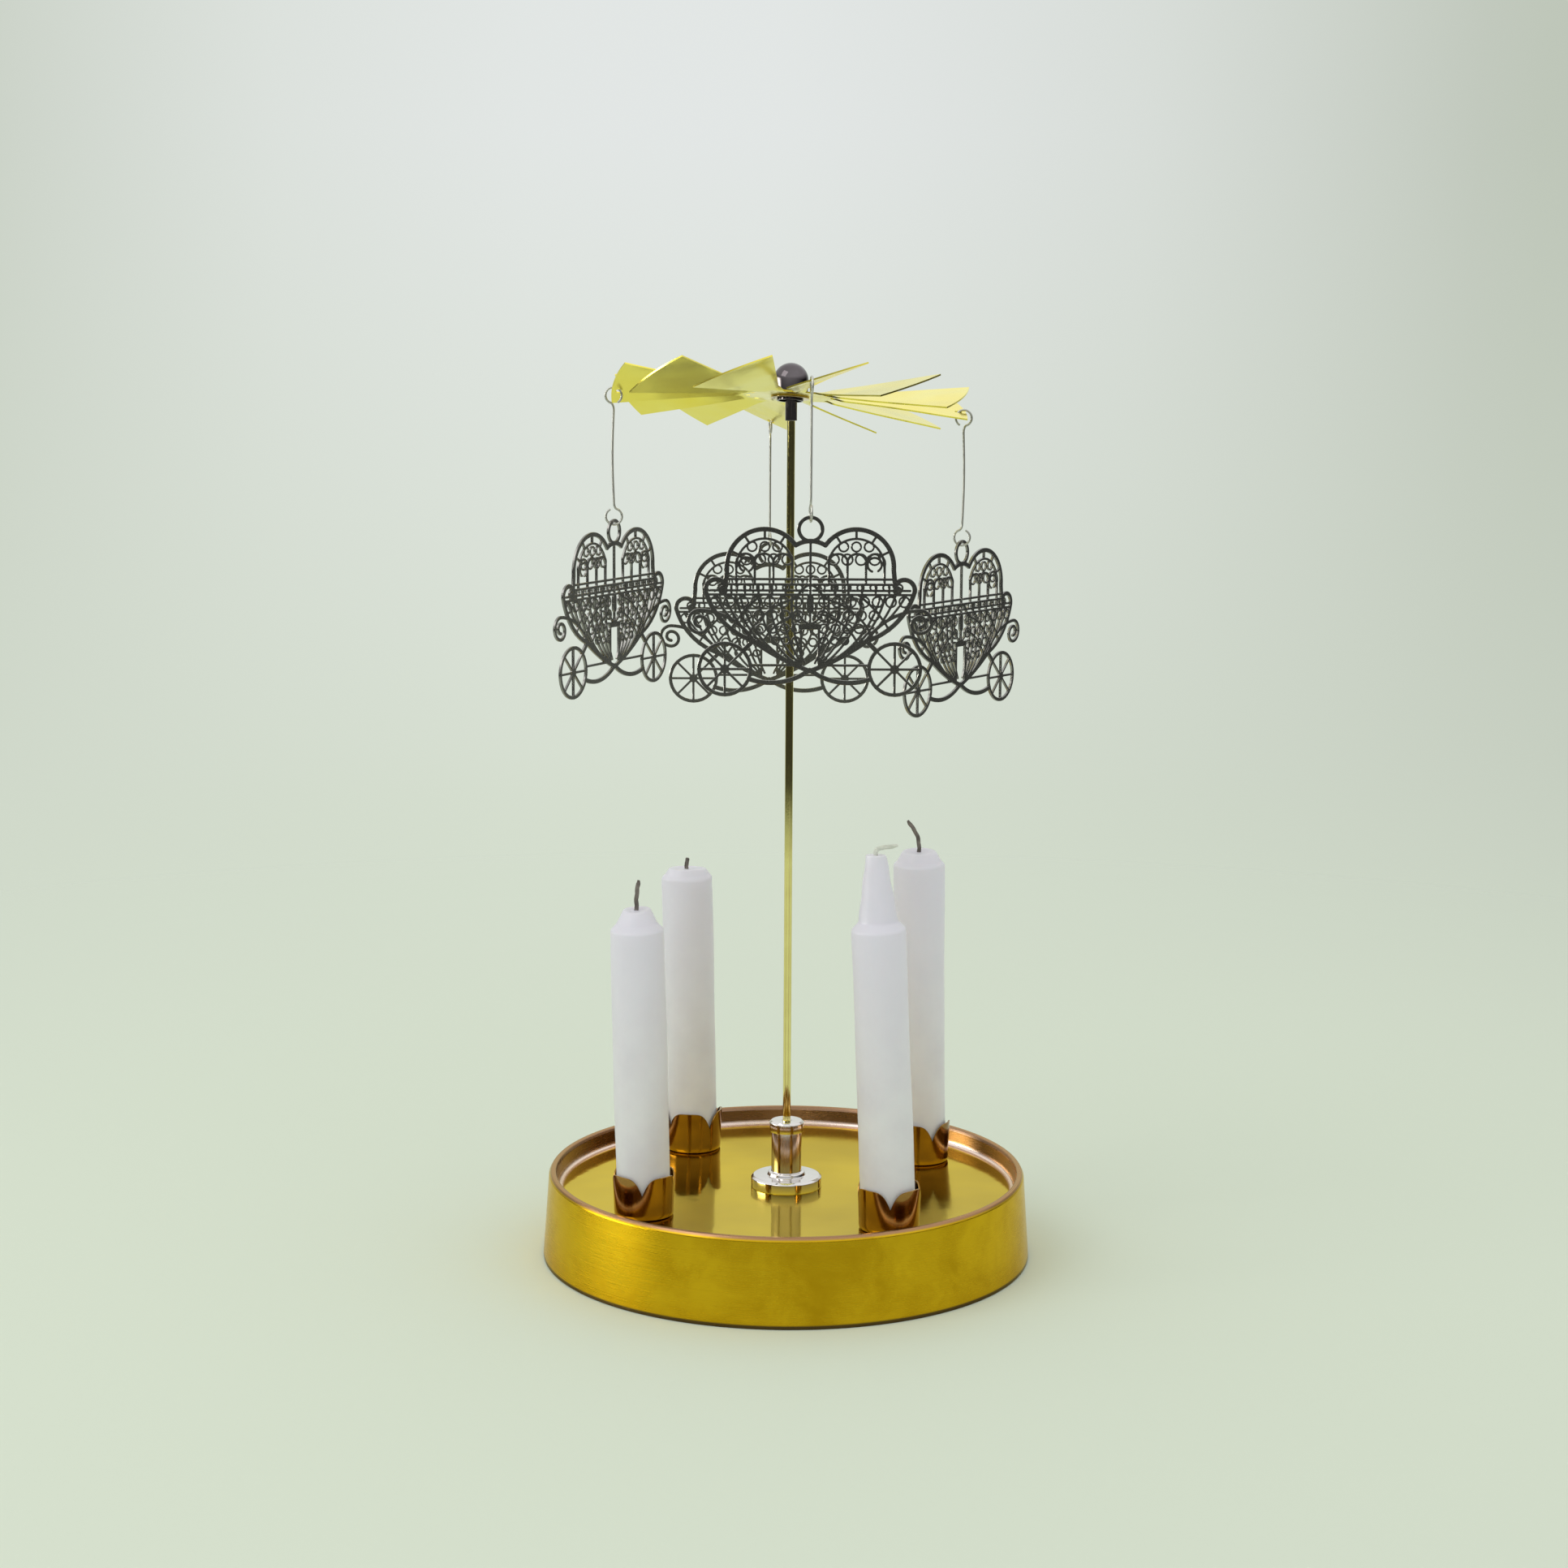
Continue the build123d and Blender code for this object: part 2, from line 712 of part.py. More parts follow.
def lobe_point(radius, angle):
    turn = math.radians(angle)
    return (lobe_offset + radius * math.cos(turn), radius * math.sin(turn) - lobe_radius)


def lobe_lines():
    """The domed roof half: its hoop and the arcade inside."""
    middle_angle = (lobe_start_angle + lobe_end_angle) / 2
    hoop = [lobe_point(lobe_radius, angle) for angle in (lobe_start_angle, middle_angle, lobe_end_angle)]
    lines = [arc_band(*hoop, heavy_line)]
    rail = -rail_share * coach_drop
    spring = -arcade_spring_share * coach_drop
    legs = [share * coach_half_width for share in arcade_leg_shares]
    for leg in legs:
        lines.append(bar((leg, rail), (leg, spring), light_line))
    for left, right in zip(legs, legs[1:]):
        crown = (left + right) / 2
        over = math.sqrt(lobe_radius ** 2 - (crown - lobe_offset) ** 2) - lobe_radius
        lines.append(bar((left, spring), (crown, over), light_line))
        lines.append(bar((right, spring), (crown, over), light_line))
    lines.append(bar(hoop[2], spot(roof_end_share, rail_share), heavy_line))
    return lines


def shaft_lines():
    """The curved shaft over the wheel and its closing scroll."""
    top = shaft_scroll_radius - shaft_scroll_drop
    heel = spot(*shaft_heel_shares)
    run = shaft_scroll_offset - heel[0]
    fall = top - heel[1]
    sweep_radius = (run ** 2 + fall ** 2) / (2 * fall)
    half_turn = math.asin(run / sweep_radius) / 2
    middle = (shaft_scroll_offset - sweep_radius * math.sin(half_turn),
              top - sweep_radius * (1 - math.cos(half_turn)))
    lines = [arc_band(heel, middle, (shaft_scroll_offset, top), shaft_line)]
    height = top
    side = 1
    for shrink_share in scroll_shrink_shares:
        radius = shaft_scroll_radius * shrink_share
        landing = height - side * 2 * radius
        lines.append(arc_band((shaft_scroll_offset, height),
                              (shaft_scroll_offset + side * radius, height - side * radius),
                              (shaft_scroll_offset, landing), shaft_line))
        height = landing
        side = -side
    return lines


def wheel_lines():
    centre = (wheel_track, -coach_drop)
    lines = [ring_face(centre, wheel_radius, wheel_band, wheel_side_count),
             Pos(*centre) * RegularPolygon(wheel_hub_radius, wheel_spoke_count)]
    reach = wheel_radius - wheel_band / 2
    for step in range(wheel_spoke_count // 2):
        turn = math.radians(step * 360 / wheel_spoke_count)
        arm = (reach * math.cos(turn), reach * math.sin(turn))
        start = (centre[0] - arm[0], centre[1] - arm[1])
        end = (centre[0] + arm[0], centre[1] + arm[1])
        lines.append(bar(start, end, light_line))
    shoulder = math.radians(wheel_shoulder_angle)
    lines.append(bar(spot(*shaft_heel_shares), (centre[0] + reach * math.cos(shoulder),
                                                centre[1] + reach * math.sin(shoulder)), heavy_line))
    step_start = spot(*step_bar_shares)
    lines.append(bar(step_start, (wheel_track - reach, step_start[1]), light_line))
    return lines


def body_lines():
    lines = [arc_band(*[spot(*share) for share in shares], heavy_line) for shares in outline_arc_shares]
    lines += [arc_band(*[spot(*share) for share in shares], light_line) for shares in filigree_arc_shares]
    lines.append(Pos(*spot(*curl_ball_shares)) * RegularPolygon(curl_ball_radius, wheel_spoke_count))
    lines.append(bar(spot(0, rail_share), spot(rail_end_share, rail_share), light_line))
    lines.append(bar(spot(fence_start_share, fence_share), spot(fence_end_share, fence_share), light_line))
    for share in fence_post_shares:
        lines.append(bar(spot(share, rail_share), spot(share, fence_share), light_line))
    door_head = spot(door_half_share, door_head_share)
    lines.append(bar(door_head, spot(door_half_share, door_foot_share), light_line))
    return lines


def centre_lines():
    """What lies on the coach's centre line: ring, crown, window bar, lozenge and door head."""
    crown_end = lobe_point(lobe_radius, lobe_start_angle)
    ring_foot = (0, charm_ring_band / 2 - charm_ring_radius)
    return [
        ring_face((0, 0), charm_ring_radius, charm_ring_band, ring_side_count),
        arc_band((-crown_end[0], crown_end[1]), ring_foot, crown_end, heavy_line),
        bar(ring_foot, spot(0, door_head_share), light_line),
        diamond(spot(0, window_knot_share), window_knot_half_width, window_knot_half_height),
        diamond(spot(0, door_head_share), door_knot_half_width, door_knot_half_height),
        bar(spot(-door_half_share, door_head_share), spot(door_half_share, door_head_share), light_line),
    ]


def coach_pattern():
    """The pierced coach as one flat face, its right half mirrored to the left."""
    half = lobe_lines() + body_lines() + shaft_lines() + wheel_lines()
    mirrored = [mirror(line, Plane.YZ) for line in half]
    return Sketch() + half + mirrored + centre_lines()


def charm_blank():
    upright = Plane.XZ * coach_pattern()
    return extrude(upright, charm_sheet / 2, both=True)


def coach_charm(side, blank):
    middle = hanger_place(side)[0]
    return Pos(middle.X, middle.Y, charm_height(side)) * Rot(0, 0, charm_angles[side]) * blank


def write(name, solid):
    solid.label = name
    export_step(solid, "parts/" + name + ".step")


def main():
    os.makedirs("parts", exist_ok=True)
    write("tray_shell", tray_shell())
    write("rod_socket", rod_socket())
    write("socket_collar", socket_collar())
    write("base_washer", base_washer())
    write("base_screw", base_screw())
    write("column_rod", column_rod())
    write("needle_ferrule", needle_ferrule())
    write("pivot_needle", pivot_needle())
    write("rotor_vanes", rotor_vanes())
    write("rotor_cap", rotor_cap())
    write("pivot_seat", pivot_seat())
    write("cap_lock_ring", cap_lock_ring())
    write("cup_rivets", cup_rivets())
    for corner in CORNERS:
        write("candle_cup_" + corner, candle_cup(corner))
        write("candle_" + corner, candle(corner))
        write("wick_" + corner, wick(corner))
    blank = charm_blank()
    for side in SIDES:
        write("hanger_wire_" + side, hanger_wire(side))
        write("coach_charm_" + side, coach_charm(side, blank))


main()
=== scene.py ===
import json
import math

import bmesh
import bpy
import numpy as np
from mathutils import Matrix, Vector
from mathutils.geometry import delaunay_2d_cdt


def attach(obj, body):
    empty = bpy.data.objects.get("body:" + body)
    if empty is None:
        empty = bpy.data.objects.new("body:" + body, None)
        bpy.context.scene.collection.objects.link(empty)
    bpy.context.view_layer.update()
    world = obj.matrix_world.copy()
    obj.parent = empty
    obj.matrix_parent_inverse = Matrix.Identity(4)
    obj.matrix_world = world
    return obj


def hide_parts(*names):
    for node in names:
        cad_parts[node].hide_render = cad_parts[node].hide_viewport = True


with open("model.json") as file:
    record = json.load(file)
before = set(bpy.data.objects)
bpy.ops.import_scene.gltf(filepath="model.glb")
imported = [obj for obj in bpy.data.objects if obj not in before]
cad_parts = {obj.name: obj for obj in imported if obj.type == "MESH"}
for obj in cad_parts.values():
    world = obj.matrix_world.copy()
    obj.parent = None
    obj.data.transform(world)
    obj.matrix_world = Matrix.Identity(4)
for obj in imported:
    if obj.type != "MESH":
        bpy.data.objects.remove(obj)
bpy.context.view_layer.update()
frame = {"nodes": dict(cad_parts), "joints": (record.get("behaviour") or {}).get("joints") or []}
scene = bpy.context.scene

# Lengths below are millimetres, on the same axes as the frame, and angles are degrees
MM = 0.001
CORNERS = ("right_rear", "left_rear", "left_front", "right_front")
SIDES = ("right", "rear", "left", "front")


def by_corner(*values):
    """A value for each candle's corner, in the order of CORNERS."""
    return dict(zip(CORNERS, values))


# Camera, as fitted to the photograph
PHOTO_WIDTH = 1932
FOCAL_PIXELS = 3668
SENSOR_WIDTH = 36
CAMERA_PLACE = (0, -670, 214.9)
CAMERA_AZIMUTH = -1.5
CAMERA_HEADING = 0.094
CAMERA_PITCH = 81.1
CAMERA_ROLL = 0.35
CLIP_RANGE = (0.01, 50)

# Tray
TRAY_SEGMENTS = 224
TRAY_RIM = 55.0
TRAY_FOOT = 56.4
TRAY_HEIGHT = 20.0
TRAY_FLOOR = 15.5
TRAY_SHEET = 0.6
TRAY_RIM_WIDTH = 1.9
TRAY_FLANGE = 2.6

# Where the tray's colours change, as the radii or heights between which each change runs; some of them bound
# the painted shade on the inner wall and on the foot lip, and the painted highlight along the floor fillet
FLOOR_EDGE = (51.8, 52.2)
FILLET_HIGHLIGHT_EDGE = (51.6, 51.9)
FILLET_HIGHLIGHT_TOP = (16.4, 16.8)
INNER_SHADE_FACE = (52.5, 52.7)
OUTER_FACE = (53.4, 53.6)
RIM_EDGE = (52.8, 53.0)
RIM_FOOT = (19.3, 19.7)
FLOOR_UNDERSIDE = (15.0, 15.2)
LIP_SHADE_TOP = (0.7, 1.1)

# Heights between which a candle's colder tint sets in
TINT_RISE = (40, 82)

# Depths of bumps, and how deep light goes into wax, in metres
GRAIN_DEPTH = 2e-6
RIPPLE_DEPTH = 9e-5
VANE_WAVE = 6e-4
WAX_WAVE = 1.2e-4
WAX_GRAIN = 1e-5
WAX_SCATTER = 0.004
FIBRE_DEPTH = 8e-5
PAPER_DEPTH = 2e-5

# Fittings at the centre
FLANGE_RADIUS = 8.2
FLANGE_TOP = 18.2
POST_RADIUS = 3.5
POST_TOP = 28.6
BEAD_RADIUS = 4.2
COLLAR_RADIUS = 3.95
COLLAR_TOP = 31.2
ROD_RADIUS = 0.9
ROD_BOTTOM = 21.6
ROD_TOP = 194.6
FERRULE_RADIUS = 1.35
FERRULE_NOSE_RADIUS = 0.75
FERRULE_BOTTOM = 192.2
FERRULE_SHOULDER = 197.4
FERRULE_TOP = 198.7
NEEDLE_RADIUS = 0.45
NEEDLE_BOTTOM = 194.7
NEEDLE_TAPER = 1.8
NEEDLE_POINT = 202.9
WASHER_BORE = 1.55
WASHER_RADIUS = 4.6
WASHER_BOTTOM = 14.2
SCREW_RADIUS = 2.8
SCREW_BOTTOM = 12.3
SHANK_RADIUS = 1.45
SHANK_TOP = 20.4
SLOT_WIDTH = 0.8
SLOT_DEPTH = 0.9

# Cups, rivets, candles and wicks
CUP_COLUMNS = 144
CUP_ROWS = 12
CUP_CIRCLE = 39.3
CUP_BEARINGS = by_corner(34.0, 124.0, 214.0, 304.0)
CUP_TURNS = by_corner(22.0, 37.0, -2.0, -1.0)
CUP_FLAT_RADIUS = 5.9
CUP_BASE_RADIUS = 6.75
CUP_LIP_RADIUS = 7.1
CUP_FOOT = ((0, 0), (CUP_FLAT_RADIUS, 0), (6.45, 0.1), (6.7, 0.4))
CUP_HEIGHT = 9.8
CUP_SHEET = 0.35
CUP_LIP_CROWN = 0.08
CUP_INNER_CORNER = 0.3
CUP_FLARE_POWER = 1.6
PETAL_DROP = 4.0
PETAL_REACH = 4.9
PETAL_POWER = 3.49
RIVET_SHANK_RADIUS = 1.0
RIVET_HEAD_RADIUS = 1.9
RIVET_CROWN_RADIUS = 1.75
RIVET_HEAD_HEIGHT = 0.4
CANDLE_BOTTOM = 16.37
CANDLE_RADIUS = 6.1
CANDLE_LENGTHS = by_corner(74.2, 68.2, 69.0, 83.4)
CANDLE_SHOULDERS = by_corner(3.2, 2.2, 4.6, 16.6)
CANDLE_LEDGES = by_corner(0.9, 0.8, 1.4, 1.7)
CANDLE_CROWNS = by_corner(3.9, 4.4, 3.0, 2.2)
CANDLE_LEANS = by_corner((0.9, 160.0), (1.3, 186.0), (1.3, 180.0), (2.6, 182.0))
CANDLE_ROW = 1.5
WAVE_SHARE = 0.012
WAVE_STEP = 1.7
MELT_SHARE = 0.05
MELT_DEPTH = 3
MELT_DROP = 0.25
WICK_RADIUS = 0.46
WICK_ROOT = 3
WICK_TIP_SHARE = 0.93
WICK_TAPER_SHARE = 0.45
WICK_LOBE_SHARE = 0.16
WICK_LAY = 2.6
WICK_GAP = 0.5
WICK_LOWER_ROW = 20
WICK_STUBS = by_corner(1.2, 0.9, 1.2, 0.3)
WICK_BENDS = by_corner((7.0, 34.0, 178.0), (3.0, 18.0, 0.0), (9.0, 18.0, 60.0), (1.0, 84.0, 0.0))
WICK_TAILS = by_corner(2.6, 0.6, 2.4, 4.0)

# Rotor
ROTOR_HEIGHT = 197.6
ROTOR_RADIUS = 39.85
ROTOR_SHEET = 0.35
ROTOR_EYE = 3.0
EYE_CLEARANCE = 0.02
ROTOR_DISC = 9.0
VANE_COUNT = 12
VANES_PER_HANGER = 3
VANE_FIRST_BEARING = 10.0
VANE_PITCH = 21.0
VANE_SLIT = 2.0
VANE_BOW = 0.25
BOW_STEP = 2.1
NECK_HALF = 1.5
NECK_END = 12.4
HOLE_RADIUS = 0.85
HOLE_MARGIN = 0.5
HANGER_FIRST_BEARING = 5
STRIP_WIDTH = 0.9
ROTOR_TIP = 9.0
ROTOR_UPHILL = 252.0
CAP_RADIUS = 3.95
CAP_SKIRT_TOP = 201.075
CAP_BOTTOM = 197.775
CAP_BORE = 2.6
SPIGOT_RADIUS = 2.98
SPIGOT_BOTTOM = 196.5
SEAT_RADIUS = 1.75
SEAT_BOTTOM = 202.25
SEAT_TOP = 203.75
SEAT_SHOULDER = 2.4
LOCK_RING_BORE = 3.02
LOCK_RING_RADIUS = 4.3
LOCK_RING_BOTTOM = 197.025
LOCK_RING_TOP = 197.425

# Places of the extra points that let the vane sheet twist and bow smoothly
NECK_SIDE_PLACES = (10.2, 11.4)
NECK_PLACES = np.arange(9.2, 13.0, 0.45)
NECK_OFFSETS = (-1.0, -0.5, 0, 0.5, 1.0)
VANE_PLACES = np.arange(14.0, 37.0, 2.2)
VANE_MARGIN = 0.8

# Hangers and charms
WIRE_RADIUS = 0.25
EYE_RADIUS = 1.8
EYE_GAP = 26.0
EYE_OVERLAP = 4
EYE_SPACING = 26.8
EYE_DROP = 1.063
STEM_TURN = 30
STEM_EASE = 1.6
STEM_LIFT = 0.1
HANGER_BOWS = dict(zip(SIDES, (0.25, 0.1, 0.3, 0.1)))
CHARM_TURNS = dict(zip(SIDES, (54.0, 0.0, 62.0, 0.0)))
CHARM_SHEET = 0.5
CHARM_CHAMFER = 0.06

# Grid on which the charm's lines are drawn
GRID_STEP = 0.1
GRID_HALF_WIDTH = 28
GRID_DROP = 38
GRID_RISE = 4
GRID_FAR = 9.0
LINE_MARGIN = 0.5
OUTLINE_TOLERANCE = 0.012
FEWEST_POINTS = 4

# Stage colours, linear, and the lamp
FLOOR_HALF = 4.0
FLOOR_CORNERS = ((-1, -1), (1, -1), (1, 1), (-1, 1))
FLOOR_COLOUR = (0.765, 0.83, 0.705)
FLOOR_TINT_SHARE = 0.985
BACKDROP_LOW = (0.672, 0.735, 0.63)
BACKDROP_HIGH = (0.765, 0.795, 0.785)
MIRROR_DARK = (0.04, 0.04, 0.04)
MIRROR_PALE = (0.70, 0.76, 0.68)
MIRROR_CEILING = (0.98, 1.0, 0.99)
MIRROR_STRIP = (14.0, 14.0, 12.6)
FILL_COLOUR = (0.78, 0.80, 0.77)
KEY_PLACE = (-0.75, -0.45, 1.0)
KEY_AIM = (0, 0, 0.08)
KEY_SIZE = 0.7
KEY_POWER = 2.3
KEY_COLOUR = (1.0, 0.99, 0.97)

# Stage fades, each as the two ends of a range and the values there
FLOOR_FADE_OFFSET = 0.67
FLOOR_FADE = (0.62, 1.22, 1, 0)
MIRRORED_FLOOR_FADE = (0.42, 0.72, 0, 1)
GLOW_RISE = (-0.16, 0.06, 0, 1)
GLOW_SPREAD = (0.0, 0.07, 1, 0)
LEFT_SHADE = (-0.24, -0.06, 0.94, 1.0)
RIGHT_SHADE = (0.02, 0.30, 1.0, 0.84)
CORNER_SHADE = (0.02, 0.06, 0, 0.10)
FRONT_FADE = (0.42, 0.95, 0, 1)
CEILING_FADE = (0.12, 0.44, 0, 1)
STRIP_FOOT_FADE = (0.05, 0.10, 0, 1)
STRIP_TOP_FADE = (0.20, 0.28, 1, 0)
STRIP_SIDE_FADE = (-0.985, -0.90, 1, 0)


def polar(radius, bearing, height=0):
    """A point at a radius and a bearing in degrees, counted from +X towards +Y."""
    turn = math.radians(bearing)
    return Vector((radius * math.cos(turn), radius * math.sin(turn), height))


def rotation(angle, axis="Z", size=3):
    """A turn by an angle in degrees, as a matrix."""
    return Matrix.Rotation(math.radians(angle), size, axis)


def flat(point):
    """A point's place on the XY plane."""
    return tuple(point)[:2]


def linked(name, data):
    """A new object in the scene."""
    made = bpy.data.objects.new(name, data)
    scene.collection.objects.link(made)
    return made


def piece(name, vertices, faces, sharp=35):
    """A smooth-shaded mesh object from vertices in millimetres, creased at sharp corners."""
    mesh = bpy.data.meshes.new(name)
    mesh.from_pydata([tuple(MM * value for value in vertex) for vertex in vertices], [], faces)
    mesh.validate()
    mesh.shade_smooth()
    mesh.set_sharp_from_angle(angle=math.radians(sharp))
    return linked(name, mesh)


def rounded(points, steps=5, longest_share=0.45):
    """Rounds the corners of a closed outline of (x, y, fillet radius) points."""
    outline = []
    count = len(points)
    for index, (x, y, radius) in enumerate(points):
        corner = Vector((x, y))
        before = Vector(points[index - 1][:2]) - corner
        after = Vector(points[(index + 1) % count][:2]) - corner
        if not radius or not before.length or not after.length:
            outline.append((x, y))
            continue
        half = before.angle(after) / 2
        cut = min(radius / math.tan(half), longest_share * before.length, longest_share * after.length)
        start = corner + before.normalized() * cut
        end = corner + after.normalized() * cut
        for step in range(steps + 1):
            share = step / steps
            point = start * (1 - share) ** 2 + corner * 2 * share * (1 - share) + end * share ** 2
            outline.append((max(0, point.x), point.y))
    return outline


def shares(count):
    """The shares of a run at which it is cut into so many parts, without its ends."""
    return [step / count for step in range(1, count)]


def lathe_data(outline, segments, warp=None):
    """Turns a closed outline of (radius, height) points about the Z axis. Returns vertices and faces."""
    vertices = []
    rings = []
    for radius, height in outline:
        if radius < 1e-6:
            rings.append([len(vertices)] * segments)
            vertices.append((0, 0, height))
        else:
            rings.append(list(range(len(vertices), len(vertices) + segments)))
            for segment in range(segments):
                vertices.append(tuple(polar(radius, segment * 360 / segments, height)))
    faces = []
    for first, second in zip(rings, rings[1:] + rings[:1]):
        for segment in range(segments):
            following = (segment + 1) % segments
            corners = [first[segment], first[following], second[following], second[segment]]
            corners = list(dict.fromkeys(corners))
            if len(corners) > 2:
                faces.append(corners)
    if warp:
        vertices = [warp(*vertex) for vertex in vertices]
    return vertices, faces


def row_faces(rows, columns):
    """Faces between rows of points, where each row is closed on itself."""
    faces = []
    for row in range(rows - 1):
        first, second = row * columns, (row + 1) * columns
        for column in range(columns):
            following = (column + 1) % columns
            faces.append([first + column, first + following, second + following, second + column])
    return faces


def tube_data(path, radius, sides=12, lobes=0, lobe_share=0, lobe_pitch=1):
    """Sweeps a round or lobed section along a path of points, with closed ends."""
    points = [Vector(point) for point in path]
    tangents = []
    for index in range(len(points)):
        before = points[max(0, index - 1)]
        after = points[min(len(points) - 1, index + 1)]
        tangents.append((after - before).normalized())
    normal = tangents[0].orthogonal().normalized()
    vertices = []
    travelled = 0
    for index, point in enumerate(points):
        if index:
            travelled += (point - points[index - 1]).length
            normal = tangents[index - 1].rotation_difference(tangents[index]) @ normal
        across = tangents[index].cross(normal).normalized()
        here = radius(index / (len(points) - 1)) if callable(radius) else radius
        for side in range(sides):
            turn = 2 * math.pi * side / sides
            swell = 1 + lobe_share * math.cos(lobes * turn - 2 * math.pi * travelled / lobe_pitch)
            vertices.append(point + (normal * math.cos(turn) + across * math.sin(turn)) * here * swell)
    last = (len(points) - 1) * sides
    ends = [list(range(sides))[::-1], list(range(last, last + sides))]
    return vertices, row_faces(len(points), sides) + ends


def inside(points, loops):
    """Which points lie inside an odd number of loops: the filled part of an outline with holes."""
    x, y = points[:, 0], points[:, 1]
    odd = np.zeros(len(points), bool)
    for loop in loops:
        ring = np.array(loop)
        following = np.roll(ring, -1, axis=0)
        for (x0, y0), (x1, y1) in zip(ring, following):
            if y0 != y1:
                odd ^= ((y0 > y) != (y1 > y)) & (x < (x1 - x0) * (y - y0) / (y1 - y0) + x0)
    return odd


def filled(loops, extra=()):
    """Triangles that fill loops and their holes. Returns the flat points and the triangles."""
    corners = [Vector(point) for loop in (*loops, extra) for point in loop]
    edges = []
    start = 0
    for loop in loops:
        count = len(loop)
        edges += [(start + index, start + (index + 1) % count) for index in range(count)]
        start += count
    points, _, triangles, *_ = delaunay_2d_cdt(corners, edges, [], 0, 1e-7)
    points = np.array([tuple(point) for point in points])
    triangles = np.array([tuple(triangle) for triangle in triangles])
    middles = points[triangles].mean(axis=1)
    return points, triangles[inside(middles, loops)]


def place(made, body, look, node):
    """Gives a piece its body and look, and hides the CAD node that it stands for."""
    if not made.data.materials:
        made.data.materials.append(LOOKS[look])
    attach(made, body)
    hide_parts(node)


def turned(name, outline, segments, body, look, node, warp=None):
    """A piece turned about the Z axis, then warped where that is asked for."""
    place(piece(name, *lathe_data(outline, segments, warp)), body, look, node)


# Materials
def link(source, target):
    target.id_data.links.new(source, target)


def is_socket(value):
    return hasattr(value, "links")


def new_node(kind, *values):
    """A new node, in the tree of the first socket among some values."""
    return next(filter(is_socket, values)).id_data.nodes.new(kind)


def math_node(operation, first, second=None):
    """The result of a sum on one or two sockets or numbers."""
    made = new_node("ShaderNodeMath", first, second)
    made.operation = operation
    for socket, value in zip(made.inputs, (first, second)):
        if is_socket(value):
            link(value, socket)
        elif value is not None:
            socket.default_value = value
    return made.outputs[0]


def product(*factors):
    """Multiplies two or more factors."""
    result = factors[0]
    for factor in factors[1:]:
        result = math_node("MULTIPLY", result, factor)
    return result


def level(factor, low, high, out_low, out_high, curve="LINEAR"):
    """Maps a range of values onto another, held at its ends."""
    made = new_node("ShaderNodeMapRange", factor)
    made.interpolation_type = curve
    for key, value in (("From Min", low), ("From Max", high), ("To Min", out_low), ("To Max", out_high)):
        made.inputs[key].default_value = value
    link(factor, made.inputs["Value"])
    return made.outputs["Result"]


def above(where, change):
    """0 before a change that runs between two places in millimetres, and 1 after it."""
    return level(where, change[0] * MM, change[1] * MM, 0, 1)


def below(where, change):
    """1 before a change that runs between two places in millimetres, and 0 after it."""
    return level(where, change[0] * MM, change[1] * MM, 1, 0)


def mixed(factor, first, second, blend="MIX"):
    """Mixes two colours."""
    made = new_node("ShaderNodeMix", factor, first, second)
    made.data_type = "RGBA"
    made.blend_type = blend
    for socket, value in zip((made.inputs[0], made.inputs[6], made.inputs[7]), (factor, first, second)):
        if is_socket(value):
            link(value, socket)
        elif isinstance(value, (int, float)):
            socket.default_value = value
        else:
            socket.default_value = (*value, 1)
    return made.outputs[2]


def blended(factor, first, second):
    """Mixes two values."""
    made = new_node("ShaderNodeMix", factor)
    for index, source in ((0, factor), (2, first), (3, second)):
        link(source, made.inputs[index])
    return made.outputs[0]


def speckled(patches, first, second, low=0.35, high=0.7):
    """Mixes two colours in patches, from a noise."""
    return mixed(level(patches, low, high, 0, 1), first, second)


def split(vector):
    """The three parts of a vector."""
    made = new_node("ShaderNodeSeparateXYZ", vector)
    link(vector, made.inputs[0])
    return made.outputs


def noise(vector, scale, detail=3.0, roughness=0.5, distortion=0.0):
    made = new_node("ShaderNodeTexNoise", vector)
    settings = {"Scale": scale, "Detail": detail, "Roughness": roughness, "Distortion": distortion}
    for key, value in settings.items():
        made.inputs[key].default_value = value
    link(vector, made.inputs["Vector"])
    return made.outputs["Fac"]


def start_material(name):
    """A new material, its shader and the object coordinates."""
    material = bpy.data.materials.new(name)
    material.use_nodes = True
    nodes = material.node_tree.nodes
    return material, nodes["Principled BSDF"], nodes.new("ShaderNodeTexCoord").outputs["Object"]


def dress(shader, colour, roughness, **settings):
    """Gives a shader its colour, its roughness and its plain values."""
    link(colour, shader.inputs["Base Color"])
    link(roughness, shader.inputs["Roughness"])
    for key, value in settings.items():
        shader.inputs[key.replace("_", " ")].default_value = value


def bump(shader, height, distance, strength=1.0, before=None):
    """Bumps a shader's surface, on top of an earlier bump where one is given."""
    made = new_node("ShaderNodeBump", height)
    made.inputs["Strength"].default_value = strength
    made.inputs["Distance"].default_value = distance
    link(height, made.inputs["Height"])
    if before:
        link(before, made.inputs["Normal"])
    link(made.outputs["Normal"], shader.inputs["Normal"])
    return made.outputs["Normal"]


def round_coordinates(spot):
    """Coordinates (radius, height, 0), with which noise runs in rings, then the radius and the height."""
    x, y, z = split(spot)
    squares = math_node("ADD", product(x, x), product(y, y))
    radius = math_node("SQRT", squares)
    made = new_node("ShaderNodeCombineXYZ", radius)
    link(radius, made.inputs[0])
    link(z, made.inputs[1])
    return made.outputs[0], radius, z


